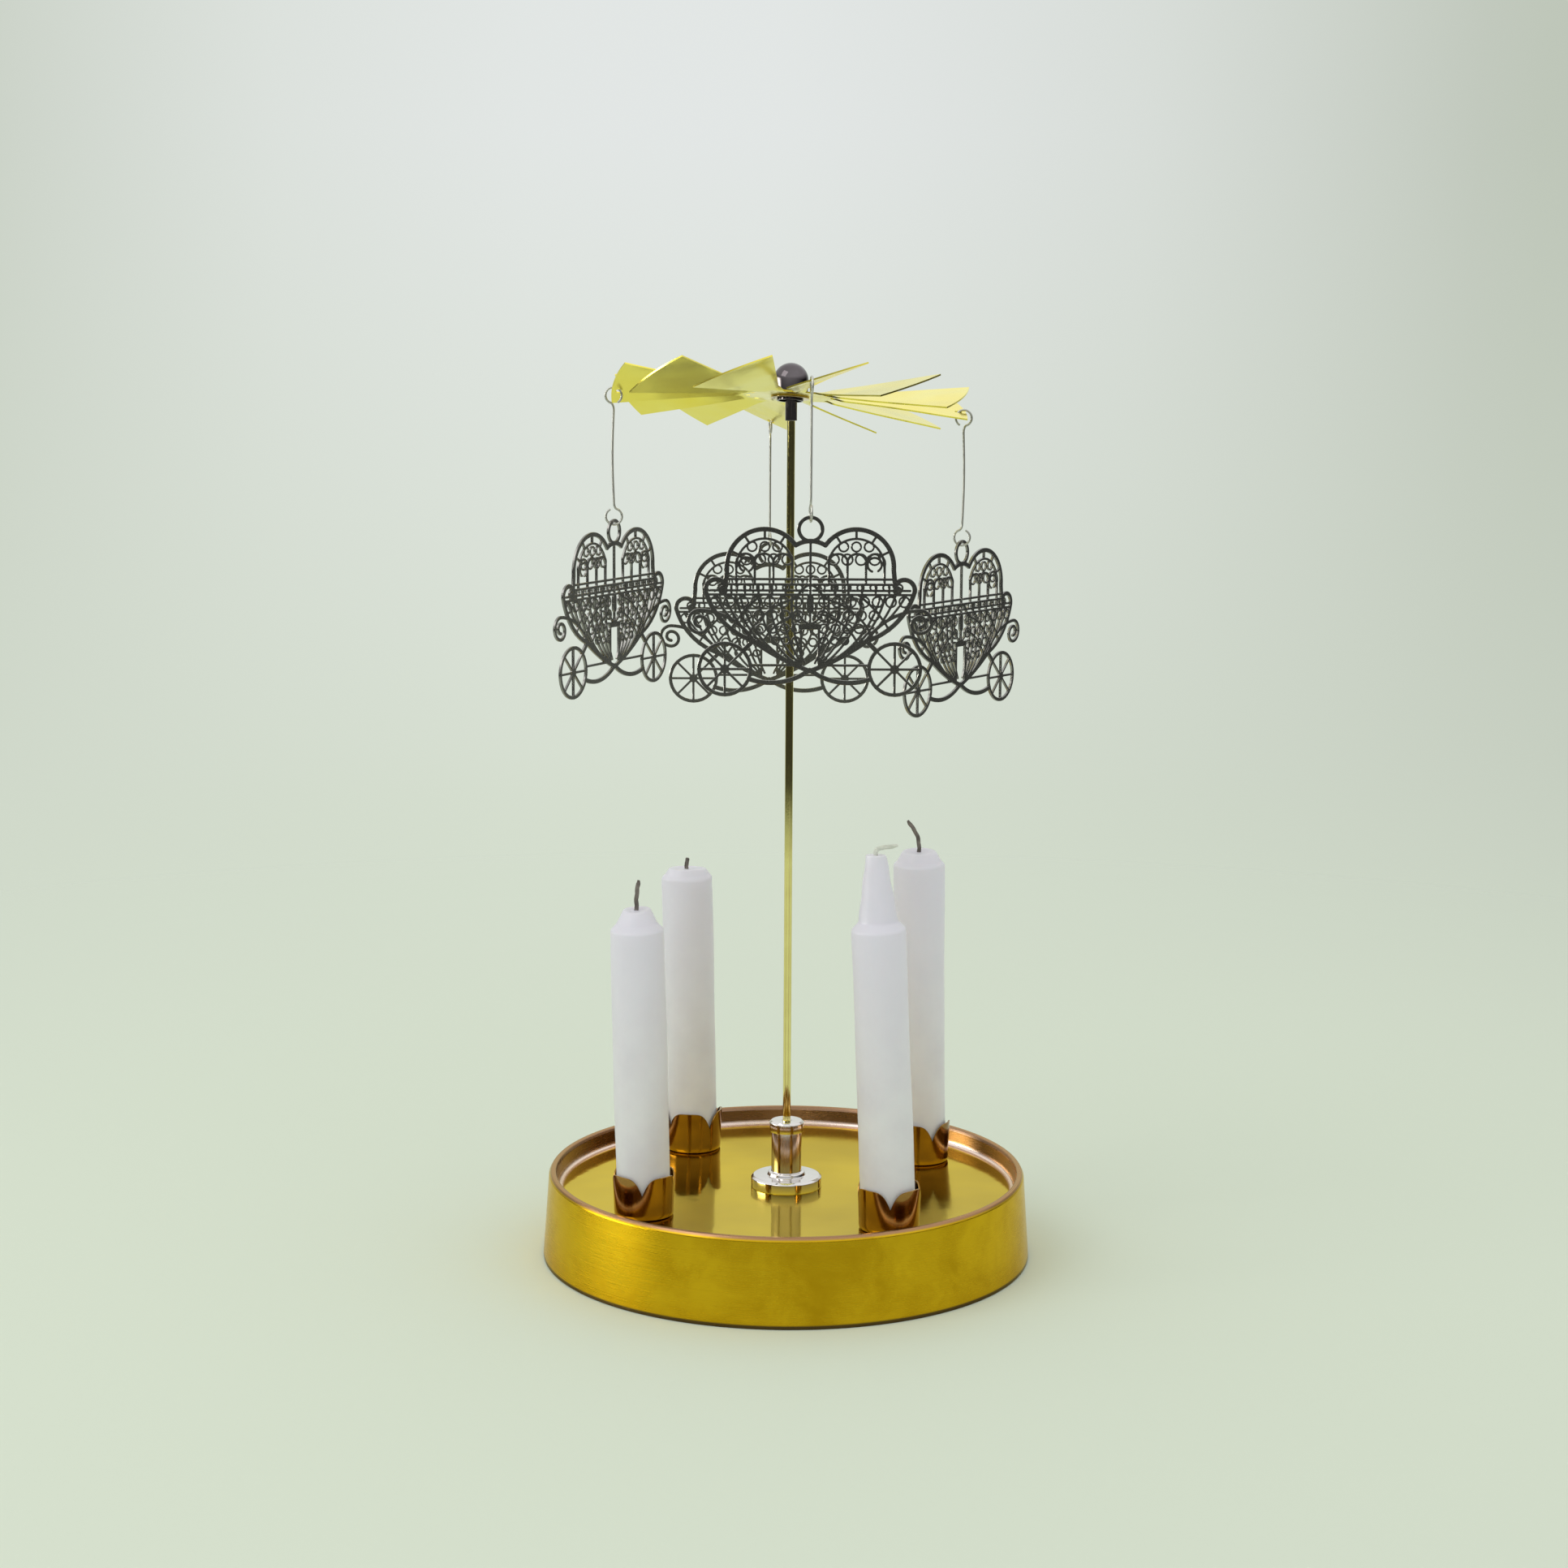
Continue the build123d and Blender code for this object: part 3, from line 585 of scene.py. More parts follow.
def metal(name, colour, dark, low_rough, high_rough, patch=90, grain=2500, wave=0):
    """Polished metal with faint mottling, haze and fine scratches, and slow waves in thin sheet."""
    material, shader, spot = start_material(name)
    patches = noise(spot, patch, 4.0, 0.55)
    specks = noise(spot, grain, 2.0, 0.6)
    haze = math_node("ADD", level(patches, 0.3, 0.75, low_rough, high_rough),
                     level(specks, 0.55, 0.8, 0, 0.06))
    dress(shader, speckled(patches, colour, dark), haze, Metallic=1.0)
    waves = bump(shader, noise(spot, 75, 1.0, 0.4, 0.3), wave, 0.8) if wave else None
    bump(shader, specks, GRAIN_DEPTH, 1.0, waves)
    return material


def tray_material():
    """Lacquered brass: brushed round the wall, a brown rolled rim, a mirror floor with faint ripples, painted
    shade on the inner wall and the foot lip, and a painted highlight along the floor fillet.
    """
    material, shader, spot = start_material("tray_brass_look")
    rings, radius, height = round_coordinates(spot)
    patches = noise(spot, 70, 5.0, 0.6, 0.4)
    clouds = noise(spot, 26, 3.0, 0.5)
    lines = noise(rings, 2600, 3.0, 0.7)
    wall = speckled(patches, (0.70, 0.445, 0.012), (0.54, 0.32, 0.006), 0.38, 0.68)
    recess = speckled(clouds, (0.70, 0.52, 0.030), (0.52, 0.38, 0.022))
    on_floor = below(radius, FLOOR_EDGE)
    base = mixed(on_floor, wall, recess)
    at_rim = product(above(height, RIM_FOOT), above(radius, RIM_EDGE))
    base = mixed(at_rim, base, (0.40, 0.22, 0.12))
    within = product(above(height, FLOOR_UNDERSIDE), below(radius, OUTER_FACE))
    # painted shade: the inner wall above the floor is coloured dark brown
    painted_shade_inner_wall = product(above(radius, INNER_SHADE_FACE), within)
    base = mixed(painted_shade_inner_wall, base, (0.34, 0.20, 0.12))
    # painted highlight: a pale pink line where the inner wall meets the floor
    fillet = product(above(radius, FILLET_HIGHLIGHT_EDGE), below(height, FILLET_HIGHLIGHT_TOP), within)
    base = mixed(fillet, base, (0.88, 0.70, 0.62))
    # painted shade: the bottom of the wall, where the tray meets the floor, is coloured near black
    base = mixed(below(height, LIP_SHADE_TOP), base, (0.10, 0.065, 0.025))
    wall_rough = math_node("ADD", level(patches, 0.3, 0.7, 0.20, 0.29),
                           level(lines, 0.4, 0.7, 0, 0.06))
    haze = blended(on_floor, wall_rough, level(clouds, 0.3, 0.7, 0.05, 0.13))
    dress(shader, base, haze, Metallic=1.0, Specular_Tint=(0.94, 0.86, 0.64, 1),
          Anisotropic=0.7, Anisotropic_Rotation=0.25)
    tangent = new_node("ShaderNodeTangent", spot)
    tangent.direction_type = "RADIAL"
    tangent.axis = "Z"
    link(tangent.outputs[0], shader.inputs["Tangent"])
    ripple = noise(spot, 150, 2.0, 0.4)
    first = bump(shader, ripple, RIPPLE_DEPTH, 0.5)
    bump(shader, lines, GRAIN_DEPTH, 0.6, first)
    return material


def wax_material():
    """Smooth wax with soft waves, colder towards the top of a candle."""
    material, shader, spot = start_material("candle_wax_look")
    clouds = noise(spot, 120, 3.0, 0.5)
    fine = noise(spot, 900, 3.0, 0.6)
    base = speckled(clouds, (0.775, 0.77, 0.785), (0.72, 0.705, 0.735))
    base = mixed(above(split(spot)[2], TINT_RISE), base, (0.765, 0.745, 0.83))
    dress(shader, base, level(fine, 0.3, 0.7, 0.38, 0.55), Subsurface_Weight=0.35,
          Subsurface_Radius=(1.0, 0.8, 0.85), Subsurface_Scale=WAX_SCATTER, Coat_Weight=0.08)
    first = bump(shader, clouds, WAX_WAVE, 0.6)
    bump(shader, fine, WAX_GRAIN, 0.5, first)
    return material


def wick_material(name, colour, tip):
    """Fuzzy cord with patches of a second colour."""
    material, shader, spot = start_material(name)
    fibres = noise(spot, 3500, 4.0, 0.7)
    char = noise(spot, 420, 3.0, 0.6)
    base = speckled(char, colour, tip, 0.4, 0.62)
    dress(shader, base, level(fibres, 0.3, 0.7, 0.75, 0.95))
    bump(shader, fibres, FIBRE_DEPTH, 0.7)
    return material


LOOKS = {
    "tray": tray_material(),
    "cup": metal("cup_brass_look", (0.44, 0.25, 0.065), (0.24, 0.125, 0.04), 0.06, 0.14),
    "rivet": metal("rivet_brass_look", (0.70, 0.45, 0.12), (0.60, 0.36, 0.10), 0.12, 0.22),
    "vane": metal("vane_brass_look", (0.98, 0.86, 0.16), (0.96, 0.80, 0.09), 0.13, 0.22, 60, wave=VANE_WAVE),
    "seat": metal("seat_brass_look", (0.76, 0.56, 0.24), (0.66, 0.47, 0.20), 0.15, 0.25),
    "lock_ring": metal("lock_ring_brass_look", (0.76, 0.56, 0.24), (0.60, 0.43, 0.18), 0.10, 0.2),
    "fitting": metal("fitting_nickel_look", (0.80, 0.77, 0.76), (0.68, 0.64, 0.62), 0.05, 0.12),
    "cap": metal("cap_chrome_look", (0.17, 0.15, 0.16), (0.11, 0.095, 0.10), 0.03, 0.08),
    "ferrule": metal("ferrule_nickel_look", (0.42, 0.38, 0.38), (0.34, 0.30, 0.30), 0.08, 0.16),
    "column": metal("column_brass_look", (0.85, 0.77, 0.31), (0.76, 0.66, 0.25), 0.05, 0.10, 140),
    "washer": metal("washer_steel_look", (0.60, 0.60, 0.60), (0.48, 0.48, 0.48), 0.22, 0.34),
    "screw": metal("screw_steel_look", (0.58, 0.58, 0.58), (0.46, 0.46, 0.46), 0.2, 0.3),
    "needle": metal("needle_steel_look", (0.55, 0.55, 0.56), (0.48, 0.48, 0.50), 0.1, 0.2),
    "hanger": metal("hanger_steel_look", (0.64, 0.64, 0.60), (0.52, 0.51, 0.48), 0.40, 0.52, 60, 500),
    "charm": metal("charm_metal_look", (0.34, 0.33, 0.31), (0.22, 0.215, 0.205), 0.20, 0.32),
    "wax": wax_material(),
    "burnt_wick": wick_material("burnt_wick_look", (0.10, 0.085, 0.075), (0.22, 0.19, 0.17)),
    "fresh_wick": wick_material("fresh_wick_look", (0.72, 0.74, 0.66), (0.60, 0.61, 0.54)),
}


def plain_ring(bore, radius, bottom, top, edge, bore_edge=0):
    """The outline of a plain ring, or of a pin where the bore is 0."""
    return rounded([(bore, bottom, bore_edge), (radius, bottom, edge),
                    (radius, top, edge), (bore, top, bore_edge)])


# Tray, turned fittings and column
def make_base():
    inner = TRAY_RIM - TRAY_RIM_WIDTH
    outline = rounded([
        (TRAY_FOOT - TRAY_FLANGE, 0, 0.1), (TRAY_FOOT, 0, 0.35),
        (TRAY_RIM + 0.02, TRAY_HEIGHT - 0.9, 0.8), (TRAY_RIM - 0.5, TRAY_HEIGHT, 0.5),
        (inner + 0.35, TRAY_HEIGHT, 0.5), (inner, TRAY_HEIGHT - 0.8, 0.5), (inner, TRAY_FLOOR, 1.3),
        (0, TRAY_FLOOR, 0), (0, TRAY_FLOOR - TRAY_SHEET, 0),
        (inner + TRAY_SHEET, TRAY_FLOOR - TRAY_SHEET, 0.3),
        (inner + TRAY_SHEET, TRAY_HEIGHT - TRAY_SHEET, 0.3),
        (TRAY_RIM - TRAY_SHEET, TRAY_HEIGHT - TRAY_SHEET, 0.3),
        (TRAY_FOOT - TRAY_SHEET, TRAY_SHEET, 0.2), (TRAY_FOOT - TRAY_FLANGE, TRAY_SHEET, 0.1),
    ], 6)
    turned("tray", outline, TRAY_SEGMENTS, "base", "tray", "tray_shell")
    socket = rounded([
        (0, TRAY_FLOOR, 0), (FLANGE_RADIUS, TRAY_FLOOR, 0.15),
        (FLANGE_RADIUS, FLANGE_TOP - 0.5, 0.35), (FLANGE_RADIUS - 0.6, FLANGE_TOP, 0.4),
        (BEAD_RADIUS + 0.2, FLANGE_TOP, 0.2), (BEAD_RADIUS, FLANGE_TOP + 0.8, 0.35),
        (POST_RADIUS, FLANGE_TOP + 0.9, 0.2), (POST_RADIUS, POST_TOP, 0.1), (0, POST_TOP, 0),
    ])
    turned("socket", socket, 96, "base", "fitting", "rod_socket")
    collar = rounded([
        (ROD_RADIUS, POST_TOP, 0), (COLLAR_RADIUS, POST_TOP, 0.12),
        (COLLAR_RADIUS, COLLAR_TOP - 0.5, 0.25), (COLLAR_RADIUS - 0.45, COLLAR_TOP, 0.25),
        (ROD_RADIUS + 0.35, COLLAR_TOP, 0.2), (ROD_RADIUS, COLLAR_TOP - 0.4, 0.1),
    ])
    turned("collar", collar, 80, "base", "fitting", "socket_collar")
    rod = plain_ring(0, ROD_RADIUS, ROD_BOTTOM, ROD_TOP, 0.1)
    turned("column", rod, 40, "base", "column", "column_rod")
    ferrule = rounded([
        (ROD_RADIUS, FERRULE_BOTTOM, 0), (FERRULE_RADIUS, FERRULE_BOTTOM, 0.1),
        (FERRULE_RADIUS, FERRULE_SHOULDER, 0.2), (FERRULE_NOSE_RADIUS, FERRULE_TOP, 0.15),
        (NEEDLE_RADIUS, FERRULE_TOP, 0), (NEEDLE_RADIUS, NEEDLE_BOTTOM, 0),
        (ROD_RADIUS, NEEDLE_BOTTOM, 0),
    ])
    turned("ferrule", ferrule, 48, "base", "ferrule", "needle_ferrule")
    needle = rounded([
        (0, NEEDLE_BOTTOM - 0.05, 0), (NEEDLE_RADIUS, NEEDLE_BOTTOM - 0.05, 0.05),
        (NEEDLE_RADIUS, NEEDLE_POINT - NEEDLE_TAPER, 0.1), (0.05, NEEDLE_POINT - 0.02, 0.03),
        (0, NEEDLE_POINT, 0),
    ])
    turned("needle", needle, 32, "base", "needle", "pivot_needle")
    washer = plain_ring(WASHER_BORE, WASHER_RADIUS, WASHER_BOTTOM, TRAY_FLOOR - TRAY_SHEET, 0.15, 0.05)
    turned("washer", washer, 64, "base", "washer", "base_washer")


def joined(parts):
    """Joins several (vertices, faces) pairs into one."""
    vertices = []
    faces = []
    for part_vertices, part_faces in parts:
        start = len(vertices)
        vertices += list(part_vertices)
        faces += [[start + index for index in face] for face in part_faces]
    return vertices, faces


def sheet(points, triangles, lift, chamfer=0.0):
    """Thickens flat triangles. lift(x, y, side) gives the place of a point at side -1 to 1 of the sheet."""
    edges = dict.fromkeys(edge for a, b, c in triangles for edge in ((a, b), (b, c), (c, a)))
    border = [(a, b) for a, b in edges if (b, a) not in edges]
    outward = {}
    for a, b in border:
        way = points[b] - points[a]
        way = np.array([way[1], -way[0]]) / (np.hypot(*way) + 1e-12)
        outward[a] = outward.get(a, 0) + way
        outward[b] = outward.get(b, 0) + way
    used = sorted({index for triangle in triangles for index in triangle})
    vertices = []
    top, bottom, upper, lower = {}, {}, {}, {}
    for index in used:
        x, y = points[index]
        if index in outward and chamfer:
            way = outward[index] / (np.hypot(*outward[index]) + 1e-12) * chamfer
            upper[index] = len(vertices)
            lower[index] = len(vertices) + 1
            edge_side = 1 - 2 * chamfer / CHARM_SHEET
            vertices += [lift(x, y, edge_side), lift(x, y, -edge_side)]
            x, y = x - way[0], y - way[1]
        top[index] = len(vertices)
        bottom[index] = len(vertices) + 1
        vertices += [lift(x, y, 1), lift(x, y, -1)]
    faces = [[top[a], top[b], top[c]] for a, b, c in triangles]
    faces += [[bottom[c], bottom[b], bottom[a]] for a, b, c in triangles]
    for a, b in border:
        if chamfer:
            faces.append([top[b], top[a], upper[a], upper[b]])
            faces.append([upper[b], upper[a], lower[a], lower[b]])
            faces.append([lower[b], lower[a], bottom[a], bottom[b]])
        else:
            faces.append([top[b], top[a], bottom[a], bottom[b]])
    return vertices, faces


def at_corner(corner):
    """Moves a point made on the Z axis to a candle cup."""
    centre = polar(CUP_CIRCLE, CUP_BEARINGS[corner])
    return lambda x, y, z: (x + centre.x, y + centre.y, z)


def leaning(corner):
    """Leans a point of a candle or wick about the middle of its foot, then moves it to its cup."""
    lean, bearing = CANDLE_LEANS[corner]
    turn = rotation(lean, polar(1, bearing + 90))
    foot = Vector((0, 0, CANDLE_BOTTOM))
    centre = polar(CUP_CIRCLE, CUP_BEARINGS[corner])
    return lambda x, y, z: tuple(turn @ (Vector((x, y, z)) - foot) + foot + centre)


# Candle cups and their rivets
def cup_edge(bearing):
    """Height of the petal edge at an angle counted from a cusp."""
    apart = abs((bearing + 45) % 90 - 45)
    reach = math.radians(apart) * CUP_LIP_RADIUS
    dip = PETAL_DROP * max(0, 1 - reach / PETAL_REACH) ** PETAL_POWER
    return TRAY_FLOOR + CUP_HEIGHT - dip


def make_cup(corner):
    rows = []
    floor_top = TRAY_FLOOR + CUP_SHEET
    for radius, rise in CUP_FOOT:
        rows.append([(radius, TRAY_FLOOR + rise)] * CUP_COLUMNS)
    base = rows[-1][0][1]
    edges = [cup_edge(column * 360 / CUP_COLUMNS) for column in range(CUP_COLUMNS)]

    def wall(share, inset, lowest):
        row = []
        for edge in edges:
            height = lowest + (edge - lowest) * share
            rise = (height - TRAY_FLOOR) / CUP_HEIGHT
            flare = CUP_BASE_RADIUS + (CUP_LIP_RADIUS - CUP_BASE_RADIUS) * rise ** CUP_FLARE_POWER
            row.append((flare - inset, height))
        return row

    for step in range(1, CUP_ROWS + 1):
        rows.append(wall(step / CUP_ROWS, 0, base))
    rows.append([(radius - CUP_SHEET / 2, height + CUP_LIP_CROWN) for radius, height in rows[-1]])
    for step in range(CUP_ROWS, 0, -1):
        rows.append(wall(step / CUP_ROWS, CUP_SHEET, floor_top + CUP_INNER_CORNER))
    rows += [[(CUP_FLAT_RADIUS, floor_top)] * CUP_COLUMNS, [(0, floor_top)] * CUP_COLUMNS]
    move = at_corner(corner)
    vertices = []
    for row in rows:
        for column, (radius, height) in enumerate(row):
            bearing = column * 360 / CUP_COLUMNS - 90 + CUP_TURNS[corner]
            vertices.append(move(*polar(radius, bearing, height)))
    made = piece("cup_" + corner, vertices, row_faces(len(rows), CUP_COLUMNS), 40)
    weld(made)
    place(made, "base", "cup", "candle_cup_" + corner)


def weld(made):
    """Joins the vertices that lie on one point, such as the middle of a floor."""
    shape = bmesh.new()
    shape.from_mesh(made.data)
    bmesh.ops.remove_doubles(shape, verts=shape.verts, dist=1e-7)
    bmesh.ops.dissolve_degenerate(shape, edges=shape.edges, dist=1e-7)
    shape.to_mesh(made.data)
    shape.free()


def make_rivets():
    upper = TRAY_FLOOR + CUP_SHEET
    under = TRAY_FLOOR - TRAY_SHEET
    outline = rounded([
        (0, under - RIVET_HEAD_HEIGHT, 0), (RIVET_CROWN_RADIUS, under - RIVET_HEAD_HEIGHT, 0.2),
        (RIVET_HEAD_RADIUS, under, 0.05), (RIVET_SHANK_RADIUS, under, 0),
        (RIVET_SHANK_RADIUS, upper, 0), (RIVET_HEAD_RADIUS, upper, 0.05),
        (RIVET_CROWN_RADIUS, upper + RIVET_HEAD_HEIGHT - 0.02, 0.2),
        (0, upper + RIVET_HEAD_HEIGHT, 0),
    ], 3)
    parts = [lathe_data(outline, 40, at_corner(corner)) for corner in CORNERS]
    place(piece("rivets", *joined(parts)), "base", "rivet", "cup_rivets")


# Screw under the floor, with a slotted head
def make_screw():
    slot_top = SCREW_BOTTOM + SLOT_DEPTH
    parts = []
    start = math.degrees(math.asin(SLOT_WIDTH / 2 / SCREW_RADIUS))

    def lift(x, y, side):
        """The two halves of the head beside the slot."""
        return x, y, SCREW_BOTTOM + SLOT_DEPTH * (0.5 + 0.5 * side)

    for turn in (0, 180):
        bearings = [turn + start + (180 - 2 * start) * step / 20 for step in range(21)]
        points, triangles = filled([[flat(polar(SCREW_RADIUS, bearing)) for bearing in bearings]])
        parts.append(sheet(points, triangles, lift))
    outline = rounded([
        (0, slot_top, 0), (SCREW_RADIUS, slot_top, 0), (SCREW_RADIUS, WASHER_BOTTOM, 0.15),
        (SHANK_RADIUS, WASHER_BOTTOM, 0), (SHANK_RADIUS, SHANK_TOP, 0.1), (0, SHANK_TOP, 0),
    ])
    parts.append(lathe_data(outline, 40))
    place(piece("screw", *joined(parts)), "base", "screw", "base_screw")


# Candles and wicks
def densified(outline, longest):
    """Adds points on the long runs of a closed outline."""
    dense = []
    for first, second in zip(outline, outline[1:] + outline[:1]):
        dense.append(first)
        for share in shares(int(math.dist(first, second) // longest) + 1):
            dense.append(tuple(a + (b - a) * share for a, b in zip(first, second)))
    return dense


def make_candle(corner, seed):
    length = CANDLE_LENGTHS[corner]
    top = CANDLE_BOTTOM + length
    shoulder = top - CANDLE_SHOULDERS[corner]
    ledge = CANDLE_LEDGES[corner]
    crown = CANDLE_CROWNS[corner]
    outline = rounded([
        (0, CANDLE_BOTTOM, 0), (CANDLE_RADIUS, CANDLE_BOTTOM, 0.5), (CANDLE_RADIUS, shoulder, 1.2),
        (CANDLE_RADIUS - ledge, shoulder + ledge, 1.2), (crown, top, 0.8),
        (crown * 0.45, top - 0.35, 0.5), (0, top - 0.2, 0),
    ], 6)
    lean = leaning(corner)

    def warp(x, y, z):
        """Slight waves, as on a drawn candle, more at the burnt top."""
        bearing = math.atan2(y, x)
        near_top = max(0, (z - shoulder + MELT_DEPTH) / (top - shoulder + MELT_DEPTH))
        wave = WAVE_SHARE * math.sin(2 * bearing + 0.09 * z + seed)
        wave += WAVE_SHARE / 2 * math.sin(3 * bearing - 0.21 * z + 2 * seed)
        wave += near_top * MELT_SHARE * math.sin(3 * bearing + seed) * math.sin(0.9 * z + seed)
        drop = near_top ** 3 * MELT_DROP * math.sin(bearing + 2 * seed) * min(1, math.hypot(x, y) / 3)
        swell = 1 + wave - WAVE_SHARE
        return lean(x * swell, y * swell, z + drop)

    made = piece("candle_wax_" + corner, *lathe_data(densified(outline, CANDLE_ROW), 72, warp), 50)
    place(made, "candle_" + corner, "wax", "candle_" + corner)


def make_wick(corner):
    lean = leaning(corner)
    top = CANDLE_BOTTOM + CANDLE_LENGTHS[corner]
    neck = top + WICK_STUBS[corner]
    radius, sweep_angle, bearing = WICK_BENDS[corner]
    root = top - WICK_ROOT
    heights = [CANDLE_BOTTOM + WICK_GAP, CANDLE_BOTTOM + WICK_LOWER_ROW, root]
    heights += [root + (neck - root) * step / 24 for step in range(1, 25)]
    points = [(0, 0, height) for height in heights]
    for step in range(1, 17):
        turn = math.radians(sweep_angle * step / 16)
        points.append(tuple(polar(radius * (1 - math.cos(turn)), bearing, neck + radius * math.sin(turn))))
    tail = math.radians(sweep_angle)
    out = radius * (1 - math.cos(tail))
    rise = points[-1][2]
    for step in range(1, 13):
        run = WICK_TAILS[corner] * step / 12
        points.append(tuple(polar(out + run * math.sin(tail), bearing, rise + run * math.cos(tail))))
    points = [lean(*point) for point in points]

    def thickness(share):
        """Full up to the tip, which tapers."""
        past = max(0, share - WICK_TIP_SHARE) / (1 - WICK_TIP_SHARE)
        return WICK_RADIUS * (1 - WICK_TAPER_SHARE * past)

    made = piece("wick_cord_" + corner, *tube_data(points, thickness, 18, 3, WICK_LOBE_SHARE, WICK_LAY), 60)
    look = "fresh_wick" if corner == "right_front" else "burnt_wick"
    place(made, "candle_" + corner, look, "wick_" + corner)


# Rotor, cap, seat and lock ring
def tipped(x, y, z):
    """Tips a point of the rotor over on the needle point."""
    pivot = Vector((0, 0, NEEDLE_POINT))
    turn = rotation(ROTOR_TIP, polar(1, ROTOR_UPHILL - 90))
    return tuple(turn @ (Vector((x, y, z)) - pivot) + pivot)


def make_rotor():
    half_angle = 180 / VANE_COUNT
    tip = math.sin(math.radians(half_angle)) * ROTOR_RADIUS - VANE_SLIT / 2
    reach = math.sqrt(ROTOR_RADIUS ** 2 - tip ** 2)
    rim_angle = math.degrees(math.asin(tip / ROTOR_RADIUS))
    base = math.sqrt(ROTOR_DISC ** 2 - NECK_HALF ** 2)
    base_angle = math.degrees(math.asin(NECK_HALF / ROTOR_DISC))
    loop = []
    extra = []
    holes = [[flat(polar(ROTOR_EYE + EYE_CLEARANCE, -step * 7.5)) for step in range(48)]]
    offset = math.radians(HANGER_FIRST_BEARING - VANE_FIRST_BEARING)
    hole_bearing = math.degrees(math.atan(math.tan(offset) / math.cos(math.radians(VANE_PITCH))))
    for vane in range(VANE_COUNT):
        bearing = VANE_FIRST_BEARING + vane * 2 * half_angle
        turn = rotation(bearing)
        side = [(out, -NECK_HALF) for out in (base, *NECK_SIDE_PLACES, NECK_END)]
        for share in shares(10):
            side.append((NECK_END + (reach - NECK_END) * share, -NECK_HALF - (tip - NECK_HALF) * share))
        rim = [flat(polar(ROTOR_RADIUS, rim_angle * (step / 8 - 1))) for step in range(17)]
        back = [(x, -y) for x, y in side[::-1]]
        for x, y in side + rim + back:
            loop.append(flat(turn @ Vector((x, y, 0))))
        for share in shares(6):
            loop.append(flat(polar(ROTOR_DISC, bearing + base_angle + 2 * (half_angle - base_angle) * share)))
        for out in NECK_PLACES:
            extra += [flat(turn @ Vector((out, sideways, 0))) for sideways in NECK_OFFSETS]
        for out in VANE_PLACES:
            width = NECK_HALF + (tip - NECK_HALF) * (out - NECK_END) / (reach - NECK_END) - VANE_MARGIN
            count = max(2, int(width))
            offsets = [width * (2 * step / count - 1) for step in range(count + 1)]
            extra += [flat(turn @ Vector((out, sideways, 0))) for sideways in offsets]
        if vane % VANES_PER_HANGER == 0:
            middle = polar(ROTOR_RADIUS - STRIP_WIDTH - HOLE_RADIUS, bearing + hole_bearing)
            holes.append([flat(middle + polar(HOLE_RADIUS, -step * 15)) for step in range(24)])
            extra = [point for point in extra if math.dist(point, middle[:2]) > HOLE_RADIUS + HOLE_MARGIN]

    def lift(x, y, side):
        """Twists each vane about its own axis, beyond the edge of the disc."""
        bearing = math.degrees(math.atan2(y, x))
        vane = round((bearing - VANE_FIRST_BEARING) / (2 * half_angle))
        axis = math.radians(VANE_FIRST_BEARING + vane * 2 * half_angle)
        along = x * math.cos(axis) + y * math.sin(axis)
        across = y * math.cos(axis) - x * math.sin(axis)
        share = min(1, max(0, (along - base) / (NECK_END - base)))
        pitch = math.radians(VANE_PITCH) * share * share * (3 - 2 * share)
        bow = VANE_BOW * math.sin(math.pi * min(1, max(0, (along - NECK_END) / (reach - NECK_END))))
        rise = bow * (1 - (across / tip) ** 2) * math.cos(vane * BOW_STEP) + side * ROTOR_SHEET / 2
        sideways = across * math.cos(pitch) - rise * math.sin(pitch)
        height = across * math.sin(pitch) + rise * math.cos(pitch)
        return tipped(along * math.cos(axis) - sideways * math.sin(axis),
                      along * math.sin(axis) + sideways * math.cos(axis), ROTOR_HEIGHT + height)

    points, triangles = filled([loop] + holes, extra)
    made = piece("rotor", *sheet(points, triangles, lift), 50)
    place(made, "rotor", "vane", "rotor_vanes")


def make_cap():
    crown = []
    for step in range(1, 14):
        turn = math.radians(90 * step / 14)
        crown.append((CAP_RADIUS * math.cos(turn), CAP_SKIRT_TOP + CAP_RADIUS * math.sin(turn), 0))
    outline = rounded([
        (CAP_BORE, SPIGOT_BOTTOM, 0.05), (SPIGOT_RADIUS, SPIGOT_BOTTOM, 0.1),
        (SPIGOT_RADIUS, CAP_BOTTOM, 0), (CAP_RADIUS - 0.55, CAP_BOTTOM, 0.2),
        (CAP_RADIUS, CAP_BOTTOM + 0.75, 0.6), (CAP_RADIUS, CAP_SKIRT_TOP, 0),
    ] + crown + [
        (0, CAP_SKIRT_TOP + CAP_RADIUS, 0), (0, SEAT_TOP, 0), (SEAT_RADIUS, SEAT_TOP, 0),
        (SEAT_RADIUS, SEAT_BOTTOM, 0), (SEAT_SHOULDER, SEAT_BOTTOM, 0),
        (CAP_BORE, CAP_SKIRT_TOP, 0),
    ])
    turned("cap", outline, 72, "rotor", "cap", "rotor_cap", tipped)
    ring = plain_ring(LOCK_RING_BORE, LOCK_RING_RADIUS, LOCK_RING_BOTTOM, LOCK_RING_TOP, 0.12)
    turned("lock_ring", ring, 64, "rotor", "lock_ring", "cap_lock_ring", tipped)
    seat = frame["nodes"]["pivot_seat"]
    seat.data.materials.clear()
    seat.data.materials.append(LOOKS["seat"])


# Hangers
def joint_place(name):
    """The middle and the axis of a joint of the frame."""
    found = next(joint for joint in frame["joints"] if joint["name"] == name)
    return Vector(found["pos_m"]) / MM, Vector(found["axis"])


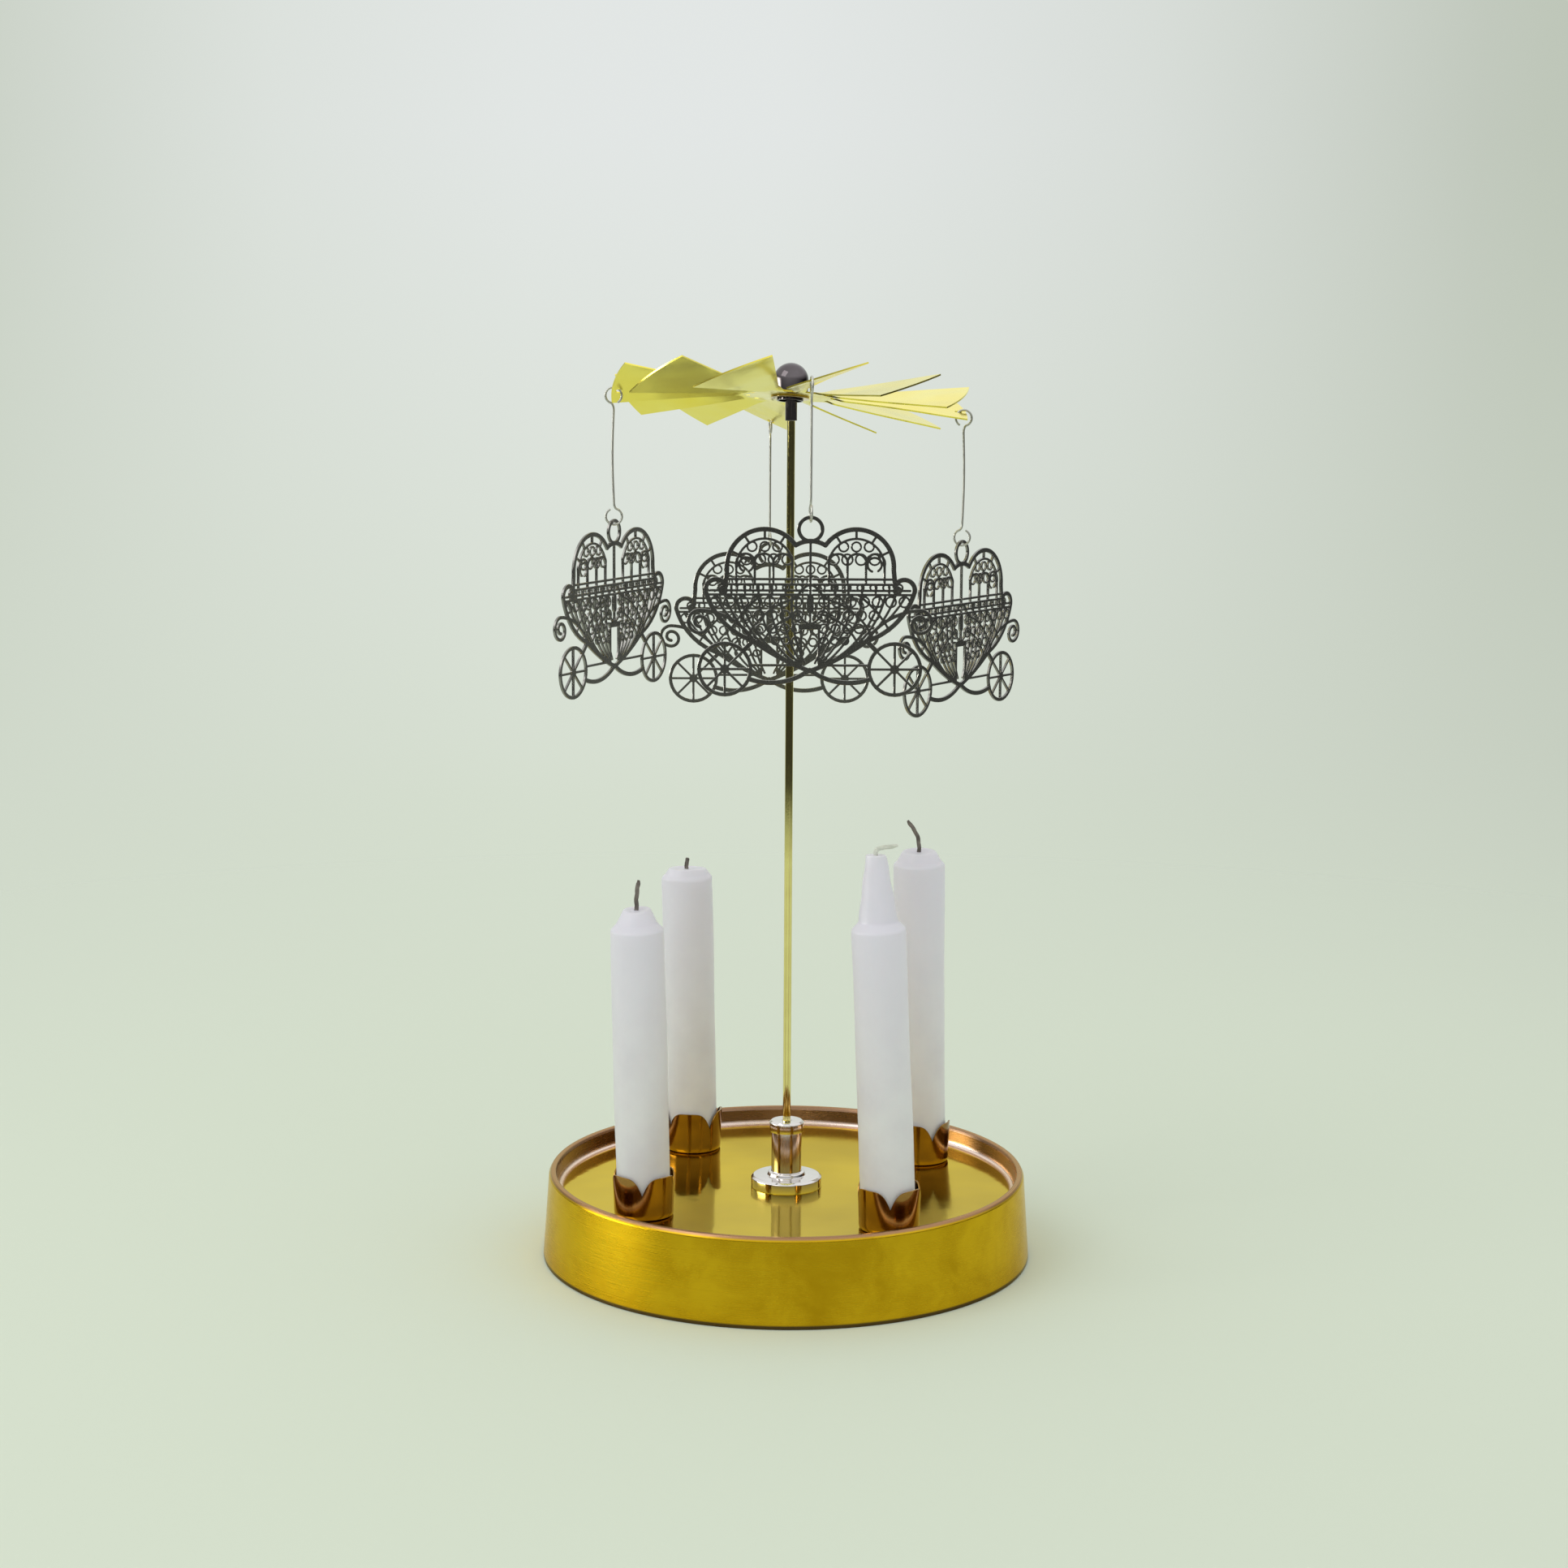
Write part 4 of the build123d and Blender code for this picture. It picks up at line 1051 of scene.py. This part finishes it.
def make_hanger(side, bow):
    middle, axis = joint_place("hanger_swing_" + side)
    way = Vector((-axis.y, axis.x, 0)).normalized()
    upper = middle.z - EYE_DROP
    lower = upper - EYE_SPACING
    stem_top = upper - EYE_RADIUS - STEM_EASE
    stem_foot = lower + EYE_RADIUS + STEM_EASE

    def eye(height, start, sweep):
        """The round part of an eye, as (outward, height) points."""
        return circle((0, height), EYE_RADIUS, start, start + sweep, 30)

    def eased(first, control, last):
        """A curve between two places, drawn towards a third, without its ends."""
        return [tuple((1 - share) ** 2 * a + 2 * share * (1 - share) * b + share ** 2 * c
                      for a, b, c in zip(first, control, last)) for share in shares(9)]

    points = eye(upper, 270 - EYE_GAP - EYE_OVERLAP, EYE_GAP + EYE_OVERLAP + STEM_TURN - 360)
    points += eased(points[-1], (0, upper - EYE_RADIUS + STEM_LIFT), (0, stem_top))
    for step in range(13):
        share = step / 12
        points.append((bow * math.sin(math.pi * share), stem_top + (stem_foot - stem_top) * share))
    foot_eye = eye(lower, 90 + STEM_TURN, 360 - EYE_GAP - STEM_TURN)
    points += eased((0, stem_foot), (0, lower + EYE_RADIUS - STEM_LIFT), foot_eye[0])
    points += foot_eye
    path = [(middle.x + way.x * out, middle.y + way.y * out, height) for out, height in points]
    made = piece("hanger_" + side, *tube_data(path, WIRE_RADIUS, 10), 60)
    place(made, "hanger_" + side, "hanger", "hanger_wire_" + side)


# Coach charms: lines are drawn as a distance field, whose outline is then filled and thickened
def on_coach(across_share, down_share):
    """A point of the coach, by shares of its half width and of its drop."""
    return (across_share * HALF_WIDTH, -down_share * DROP)


def arc(first, middle, last, steps=16):
    """Points along the arc through three points."""
    (ax, ay), (bx, by), (cx, cy) = first, middle, last
    twice = 2 * (ax * (by - cy) + bx * (cy - ay) + cx * (ay - by))
    if abs(twice) < 1e-6:
        return [first, last]
    a2, b2, c2 = ax * ax + ay * ay, bx * bx + by * by, cx * cx + cy * cy
    ux = (a2 * (by - cy) + b2 * (cy - ay) + c2 * (ay - by)) / twice
    uy = (a2 * (cx - bx) + b2 * (ax - cx) + c2 * (bx - ax)) / twice
    radius = math.hypot(ax - ux, ay - uy)
    start = math.atan2(ay - uy, ax - ux)
    through = (math.atan2(by - uy, bx - ux) - start) % (2 * math.pi)
    sweep_angle = (math.atan2(cy - uy, cx - ux) - start) % (2 * math.pi)
    if through > sweep_angle:
        sweep_angle -= 2 * math.pi
    return [(ux + radius * math.cos(start + sweep_angle * step / steps),
             uy + radius * math.sin(start + sweep_angle * step / steps)) for step in range(steps + 1)]


def circle(centre, radius, start=0, end=360, steps=32):
    """Points along a circle, or along the part of it between two bearings in degrees."""
    turns = [math.radians(start + (end - start) * step / steps) for step in range(steps + 1)]
    return [(centre[0] + radius * math.cos(turn), centre[1] + radius * math.sin(turn)) for turn in turns]


# The coach's drawing, on the right half, from the middle of the ring that it hangs by
HALF_WIDTH = 18.0
DROP = 29.8
HEAVY = 1.0
LIGHT = 0.52
FINE = 0.42
RING_RADIUS = 2.5
RING_BAND = 0.8
SADDLE = ((0, -2.5), (1.7, -2.75), (3.147, -3.411))
LOBE = (9.7, -8.0)
LOBE_RADIUS = 8.0
LOBE_INNER_RADIUS = 6.0
LOBE_END = -4
LOBE_STAY_BEARINGS = (25, 57, 90, 123)
LEG_SHARES = (0.218, 0.437, 0.655, 0.874)
ARCH_FOOT = -7.8
ARCH_TOP = -5.2
CURL = (13.6, -7.5)
CURL_RADIUS = 1.5
RAIL = -0.393 * DROP
FENCE = -0.466 * DROP
RAIL_START = 0.6
RAIL_ROWS = ((-10.6, 1.0), (RAIL, 1.01), (-13.0, 1.18), (FENCE, 1.22))
FENCE_POST_SHARES = (0.29, 0.45, 0.61, 0.77, 0.93)
CORNER_KNOB_SHARES = (1.028, 0.436)
HEEL_SHARES = (0.667, 0.794)
SCROLL_START = (23.4, -17.2)
SCROLL_MIDDLE = (17.2, -18.9)
SCROLL_RADIUS = 2.45
SCROLL_SHARES = (1.0, 0.72, 0.44)
SCROLL_WIDTH = 0.75
WHEEL = (18.1, -29.8)
WHEEL_RADIUS = 5.5
WHEEL_BAND = 0.8
KNOB = 2.0
CREST = ((0, -14.6), (0, -17.2))
CREST_WIDTH = 1.5
AXLE_SHARES = (0.190, 0.972)
DOOR_SHARES = (0.105, 0.695)
DOOR_FOOT_SHARE = 0.985
DOOR_WIDTH = 1.2
OUTLINE_ARC_SHARES = [
    ((0.994, 0.405), (1.133, 0.359), (1.233, 0.443)),
    ((1.233, 0.443), (1.089, 0.617), (0.678, 0.795)),
    ((0.678, 0.795), (0.350, 0.919), (0.000, 1.013)),
    ((0.000, 1.005), (0.340, 1.092), (0.722, 1.070)),
]
FILIGREE_ARC_SHARES = [
    ((1.133, 0.466), (0.978, 0.604), (0.700, 0.745)),
    ((0.105, 0.950), (0.290, 0.711), (0.344, 0.466)),
    ((0.166, 0.960), (0.500, 0.721), (0.611, 0.466)),
    ((0.278, 0.936), (0.722, 0.705), (0.889, 0.466)),
    ((0.126, 0.605), (0.440, 0.707), (0.578, 0.836)),
    ((0.163, 0.493), (0.572, 0.626), (0.744, 0.778)),
    ((0.564, 0.466), (0.789, 0.591), (0.939, 0.722)),
    ((0.000, 0.393), (0.167, 0.534), (0.000, 0.678)),
    ((0.060, 0.955), (0.190, 0.725), (0.215, 0.466)),
    ((0.130, 0.955), (0.400, 0.715), (0.480, 0.466)),
    ((0.240, 0.945), (0.670, 0.700), (0.830, 0.466)),
    ((0.320, 0.925), (0.800, 0.700), (1.010, 0.466)),
]
# Rows of small rings in the filigree: height, first place across, spacing, count and radius
RING_ROWS = [
    (-15.4, 2.9, 2.85, 7, 1.10),
    (-18.3, 2.6, 2.75, 5, 1.05),
    (-21.1, 2.9, 2.50, 4, 0.95),
    (-23.7, 3.0, 2.20, 3, 0.80),
    (-12.35, 2.4, 2.75, 7, 0.70),
    (-6.4, 4.9, 2.90, 4, 1.15),
    (-3.7, 7.0, 2.70, 3, 1.00),
]


def coach_lines():
    """The right half of the coach as (points, width) lines."""
    lines = []

    def draw(width, *points):
        lines.append((points, width))

    def on_circle(centre, radius, bearing):
        return circle(centre, radius, bearing, bearing, 1)[0]

    draw(HEAVY, *circle(LOBE, LOBE_RADIUS, 145, LOBE_END))
    draw(LIGHT, *circle(LOBE, LOBE_INNER_RADIUS, 165, 0))
    for bearing in LOBE_STAY_BEARINGS:
        draw(LIGHT, on_circle(LOBE, LOBE_INNER_RADIUS, bearing), on_circle(LOBE, LOBE_RADIUS, bearing))
    legs = [share * HALF_WIDTH for share in LEG_SHARES]
    for leg in legs:
        draw(LIGHT, (leg, RAIL), (leg, ARCH_FOOT))
    for left, right in zip(legs, legs[1:]):
        draw(LIGHT, *arc((left, ARCH_FOOT), ((left + right) / 2, ARCH_TOP), (right, ARCH_FOOT)))
    draw(LIGHT, *circle(CURL, CURL_RADIUS, -60, 250))
    draw(HEAVY, on_circle(LOBE, LOBE_RADIUS, LOBE_END), (HALF_WIDTH, RAIL))
    for height, reach_share in RAIL_ROWS:
        draw(LIGHT, (RAIL_START, height), (reach_share * HALF_WIDTH, height))
    for share in FENCE_POST_SHARES:
        draw(LIGHT, (share * HALF_WIDTH, RAIL), (share * HALF_WIDTH, FENCE))
    for width, arcs in ((HEAVY, OUTLINE_ARC_SHARES), (LIGHT, FILIGREE_ARC_SHARES)):
        for places in arcs:
            draw(width, *arc(*[on_coach(*share) for share in places]))
    for height, first, spacing, count, radius in RING_ROWS:
        for index in range(count):
            draw(FINE, *circle((first + index * spacing, height), radius, 0, 360, 16))
    draw(KNOB, *[on_coach(*CORNER_KNOB_SHARES)] * 2)
    heel = on_coach(*HEEL_SHARES)
    draw(SCROLL_WIDTH, *arc(heel, SCROLL_MIDDLE, SCROLL_START))
    across, height = SCROLL_START
    side = 1
    for share in SCROLL_SHARES:
        radius = SCROLL_RADIUS * share
        landing = height - side * 2 * radius
        middle = (across + side * radius, height - side * radius)
        draw(SCROLL_WIDTH, *arc((across, height), middle, (across, landing)))
        height = landing
        side = -side
    draw(WHEEL_BAND, *circle(WHEEL, WHEEL_RADIUS))
    draw(KNOB, WHEEL, WHEEL)
    for bearing in range(0, 180, 45):
        draw(LIGHT, *circle(WHEEL, WHEEL_RADIUS, bearing, bearing + 180, 1))
    draw(HEAVY, heel, on_circle(WHEEL, WHEEL_RADIUS, 135))
    draw(LIGHT, on_coach(*AXLE_SHARES), (WHEEL[0] - WHEEL_RADIUS, on_coach(*AXLE_SHARES)[1]))
    draw(LIGHT, on_coach(*DOOR_SHARES), on_coach(DOOR_SHARES[0], DOOR_FOOT_SHARE))
    draw(HEAVY, *arc(*SADDLE))
    draw(RING_BAND, *circle((0, 0), RING_RADIUS, -90, 90))
    draw(LIGHT, SADDLE[0], on_coach(0, DOOR_SHARES[1]))
    draw(CREST_WIDTH, *CREST)
    draw(DOOR_WIDTH, on_coach(0, DOOR_SHARES[1]), on_coach(*DOOR_SHARES))
    return lines


def charm_field(x, y):
    """Distance from each grid point to the nearest line's edge, negative inside the metal."""
    field = np.full((len(y), len(x)), GRID_FAR)
    for points, width in coach_lines():
        half = width / 2
        reach = half + LINE_MARGIN
        for (ax, ay), (bx, by) in zip(points, points[1:]):
            columns = slice(*np.searchsorted(x, (min(ax, bx) - reach, max(ax, bx) + reach)))
            rows = slice(*np.searchsorted(y, (min(ay, by) - reach, max(ay, by) + reach)))
            px, py = np.meshgrid(x[columns] - ax, y[rows] - ay)
            run_x, run_y = bx - ax, by - ay
            length = run_x * run_x + run_y * run_y + 1e-9
            share = np.clip((px * run_x + py * run_y) / length, 0, 1)
            apart = np.hypot(px - share * run_x, py - share * run_y) - half
            field[rows, columns] = np.minimum(field[rows, columns], apart)
    return field


# Which sides of a grid square an outline runs from and to, by which of its corners are metal
CROSSINGS = {
    1: ["SW"], 2: ["ES"], 3: ["EW"], 4: ["NE"], 5: ["SE", "NW"], 6: ["NS"], 7: ["NW"],
    8: ["WN"], 9: ["SN"], 10: ["EN", "WS"], 11: ["EN"], 12: ["WE"], 13: ["SE"], 14: ["WS"],
}


def contours(field, x, y):
    """Closed outlines of the negative part of a field, with the metal on their left."""
    links = {}
    metal_here = field < 0
    code = (metal_here[:-1, :-1] * 1 + metal_here[:-1, 1:] * 2
            + metal_here[1:, 1:] * 4 + metal_here[1:, :-1] * 8)
    for row, column in zip(*np.nonzero((code > 0) & (code < 15))):
        sides = {"S": ("h", row, column), "N": ("h", row + 1, column),
                 "W": ("v", row, column), "E": ("v", row, column + 1)}
        for start, end in CROSSINGS[code[row, column]]:
            links[sides[start]] = sides[end]

    def point(key):
        kind, row, column = key
        if kind == "h":
            a, b = field[row, column], field[row, column + 1]
            return (x[column] + (x[1] - x[0]) * a / (a - b), y[row])
        a, b = field[row, column], field[row + 1, column]
        return (x[column], y[row] + (y[1] - y[0]) * a / (a - b))

    loops = []
    while links:
        loop = []
        key = next(iter(links))
        while key in links:
            loop.append(point(key))
            key = links.pop(key)
        loops.append(loop)
    return loops


def simplified(loop, tolerance):
    """Drops the points of a closed loop that lie within a tolerance of the line between their neighbours."""
    points = np.array(loop)
    kept = [0, len(points) // 2]
    stack = [(0, len(points) // 2), (len(points) // 2, len(points))]
    while stack:
        start, end = stack.pop()
        if end - start < 2:
            continue
        a, b = points[start], points[end % len(points)]
        way = b - a
        between = points[start + 1:end] - a
        apart = np.abs(way[0] * between[:, 1] - way[1] * between[:, 0]) / (np.hypot(*way) + 1e-9)
        if apart.max() > tolerance:
            farthest = start + 1 + int(apart.argmax())
            kept.append(farthest)
            stack += [(start, farthest), (farthest, end)]
    return [tuple(points[index]) for index in sorted(kept)]


def charm_mesh():
    """The coach drawing as a thickened sheet, standing about the ring that it hangs by."""
    half_x = np.arange(GRID_STEP / 2, GRID_HALF_WIDTH, GRID_STEP)
    x = np.concatenate([-half_x[::-1], half_x])
    y = np.arange(-GRID_DROP, GRID_RISE, GRID_STEP)
    half_field = charm_field(half_x, y)
    field = np.concatenate([half_field[:, ::-1], half_field], axis=1)
    loops = [simplified(loop, OUTLINE_TOLERANCE) for loop in contours(field, x, y)]
    points, triangles = filled([loop for loop in loops if len(loop) > FEWEST_POINTS])

    def lift(across, height, side):
        """Stands the drawing up, with its sheet's middle on the XZ plane."""
        return across, -side * CHARM_SHEET / 2, height

    return sheet(points, triangles, lift, CHARM_CHAMFER)


def make_charms():
    blank = piece("charm_blank", *charm_mesh(), 40)
    shape = blank.data
    bpy.data.objects.remove(blank)
    for side in SIDES:
        centre, _ = joint_place("charm_turn_" + side)
        made = linked("charm_" + side, shape)
        made.matrix_world = Matrix.Translation(centre * MM) @ rotation(CHARM_TURNS[side], "Z", 4)
        place(made, "charm_" + side, "charm", "coach_charm_" + side)


make_base()
make_rivets()
make_screw()
for corner_index, corner_name in enumerate(CORNERS):
    make_cup(corner_name)
    make_candle(corner_name, WAVE_STEP * corner_index)
    make_wick(corner_name)
make_rotor()
make_cap()
for side_name, side_bow in HANGER_BOWS.items():
    make_hanger(side_name, side_bow)
make_charms()


# Floor: it fades out into the backdrop, which is the world's colour
def floor_material():
    material, shader, spot = start_material("floor_paper")
    _, radius, _ = round_coordinates(spot)
    paper = noise(spot, 1200, 3.0, 0.6)
    clouds = noise(spot, 3, 2.0, 0.5)
    base = mixed(clouds, FLOOR_COLOUR, [value * FLOOR_TINT_SHARE for value in FLOOR_COLOUR])
    dress(shader, base, level(paper, 0.3, 0.7, 0.85, 0.95), Specular_IOR_Level=0.1)
    bump(shader, paper, PAPER_DEPTH, 0.3)
    nearness = math_node("DIVIDE", 1.0, math_node("ADD", radius, FLOOR_FADE_OFFSET))
    seen = level(nearness, *FLOOR_FADE, "SMOOTHSTEP")
    mirrored = level(radius, *MIRRORED_FLOOR_FADE, "SMOOTHSTEP")
    path = new_node("ShaderNodeLightPath", spot)
    clearness = blended(path.outputs["Is Glossy Ray"], seen, mirrored)
    clear = new_node("ShaderNodeBsdfTransparent", spot)
    mix = new_node("ShaderNodeMixShader", spot)
    for socket, source in zip(mix.inputs, (clearness, shader.outputs[0], clear.outputs[0])):
        link(source, socket)
    link(mix.outputs[0], material.node_tree.nodes["Material Output"].inputs["Surface"])
    return material


def make_floor():
    mesh = bpy.data.meshes.new("floor")
    corners = [(across * FLOOR_HALF, deep * FLOOR_HALF, 0) for across, deep in FLOOR_CORNERS]
    mesh.from_pydata(corners, [], [range(4)])
    mesh.materials.append(floor_material())
    linked("floor", mesh)


# World: the photographed backdrop for the camera, and for reflections a dark front, a bright ceiling
# and a strip light at the left
def make_world():
    world = bpy.data.worlds.new("studio")
    scene.world = world
    world.use_nodes = True
    tree = world.node_tree
    tree.nodes.clear()
    way = tree.nodes.new("ShaderNodeTexCoord").outputs["Generated"]
    x, y, z = split(way)
    side = product(x, x)
    high = level(z, *GLOW_RISE)
    glow = product(high, level(side, *GLOW_SPREAD))
    seen = mixed(glow, BACKDROP_LOW, BACKDROP_HIGH)
    corner = math_node("SUBTRACT", 1.0, product(high, level(side, *CORNER_SHADE)))
    shade = product(level(x, *LEFT_SHADE), level(x, *RIGHT_SHADE), corner)
    seen = mixed(1.0, seen, shade, "MULTIPLY")
    mirrored = mixed(level(y, *FRONT_FADE), MIRROR_DARK, MIRROR_PALE)
    mirrored = mixed(level(z, *CEILING_FADE), mirrored, MIRROR_CEILING)
    strip = product(level(z, *STRIP_FOOT_FADE), level(z, *STRIP_TOP_FADE),
                    level(x, *STRIP_SIDE_FADE))
    mirrored = mixed(strip, mirrored, MIRROR_STRIP)
    path = tree.nodes.new("ShaderNodeLightPath")
    first = mixed(path.outputs["Is Glossy Ray"], FILL_COLOUR, mirrored)
    shown = math_node("MAXIMUM", path.outputs["Is Camera Ray"], path.outputs["Is Transmission Ray"])
    colour = mixed(shown, first, seen)
    background = tree.nodes.new("ShaderNodeBackground")
    link(colour, background.inputs["Color"])
    output = tree.nodes.new("ShaderNodeOutputWorld")
    link(background.outputs[0], output.inputs["Surface"])


# Lamp and camera
def make_lamp():
    light = bpy.data.lights.new("key", "AREA")
    light.shape = "RECTANGLE"
    light.size = KEY_SIZE
    light.size_y = KEY_SIZE
    light.energy = KEY_POWER
    light.color = KEY_COLOUR
    lamp = linked("key", light)
    lamp.location = KEY_PLACE
    lamp.rotation_mode = "QUATERNION"
    lamp.rotation_quaternion = (Vector(KEY_AIM) - Vector(KEY_PLACE)).to_track_quat("-Z", "Y")


def make_camera():
    camera = linked("camera", bpy.data.cameras.new("camera"))
    bpy.context.scene.camera = camera
    camera.data.sensor_width = SENSOR_WIDTH
    camera.data.lens = FOCAL_PIXELS / PHOTO_WIDTH * SENSOR_WIDTH
    camera.data.clip_start, camera.data.clip_end = CLIP_RANGE
    camera.matrix_world = (rotation(CAMERA_AZIMUTH, "Z", 4) @ Matrix.Translation(Vector(CAMERA_PLACE) * MM)
                           @ rotation(CAMERA_HEADING, "Z", 4) @ rotation(CAMERA_PITCH, "X", 4)
                           @ rotation(CAMERA_ROLL, "Z", 4))


make_floor()
make_world()
make_lamp()
make_camera()
scene.view_settings.view_transform = "Standard"
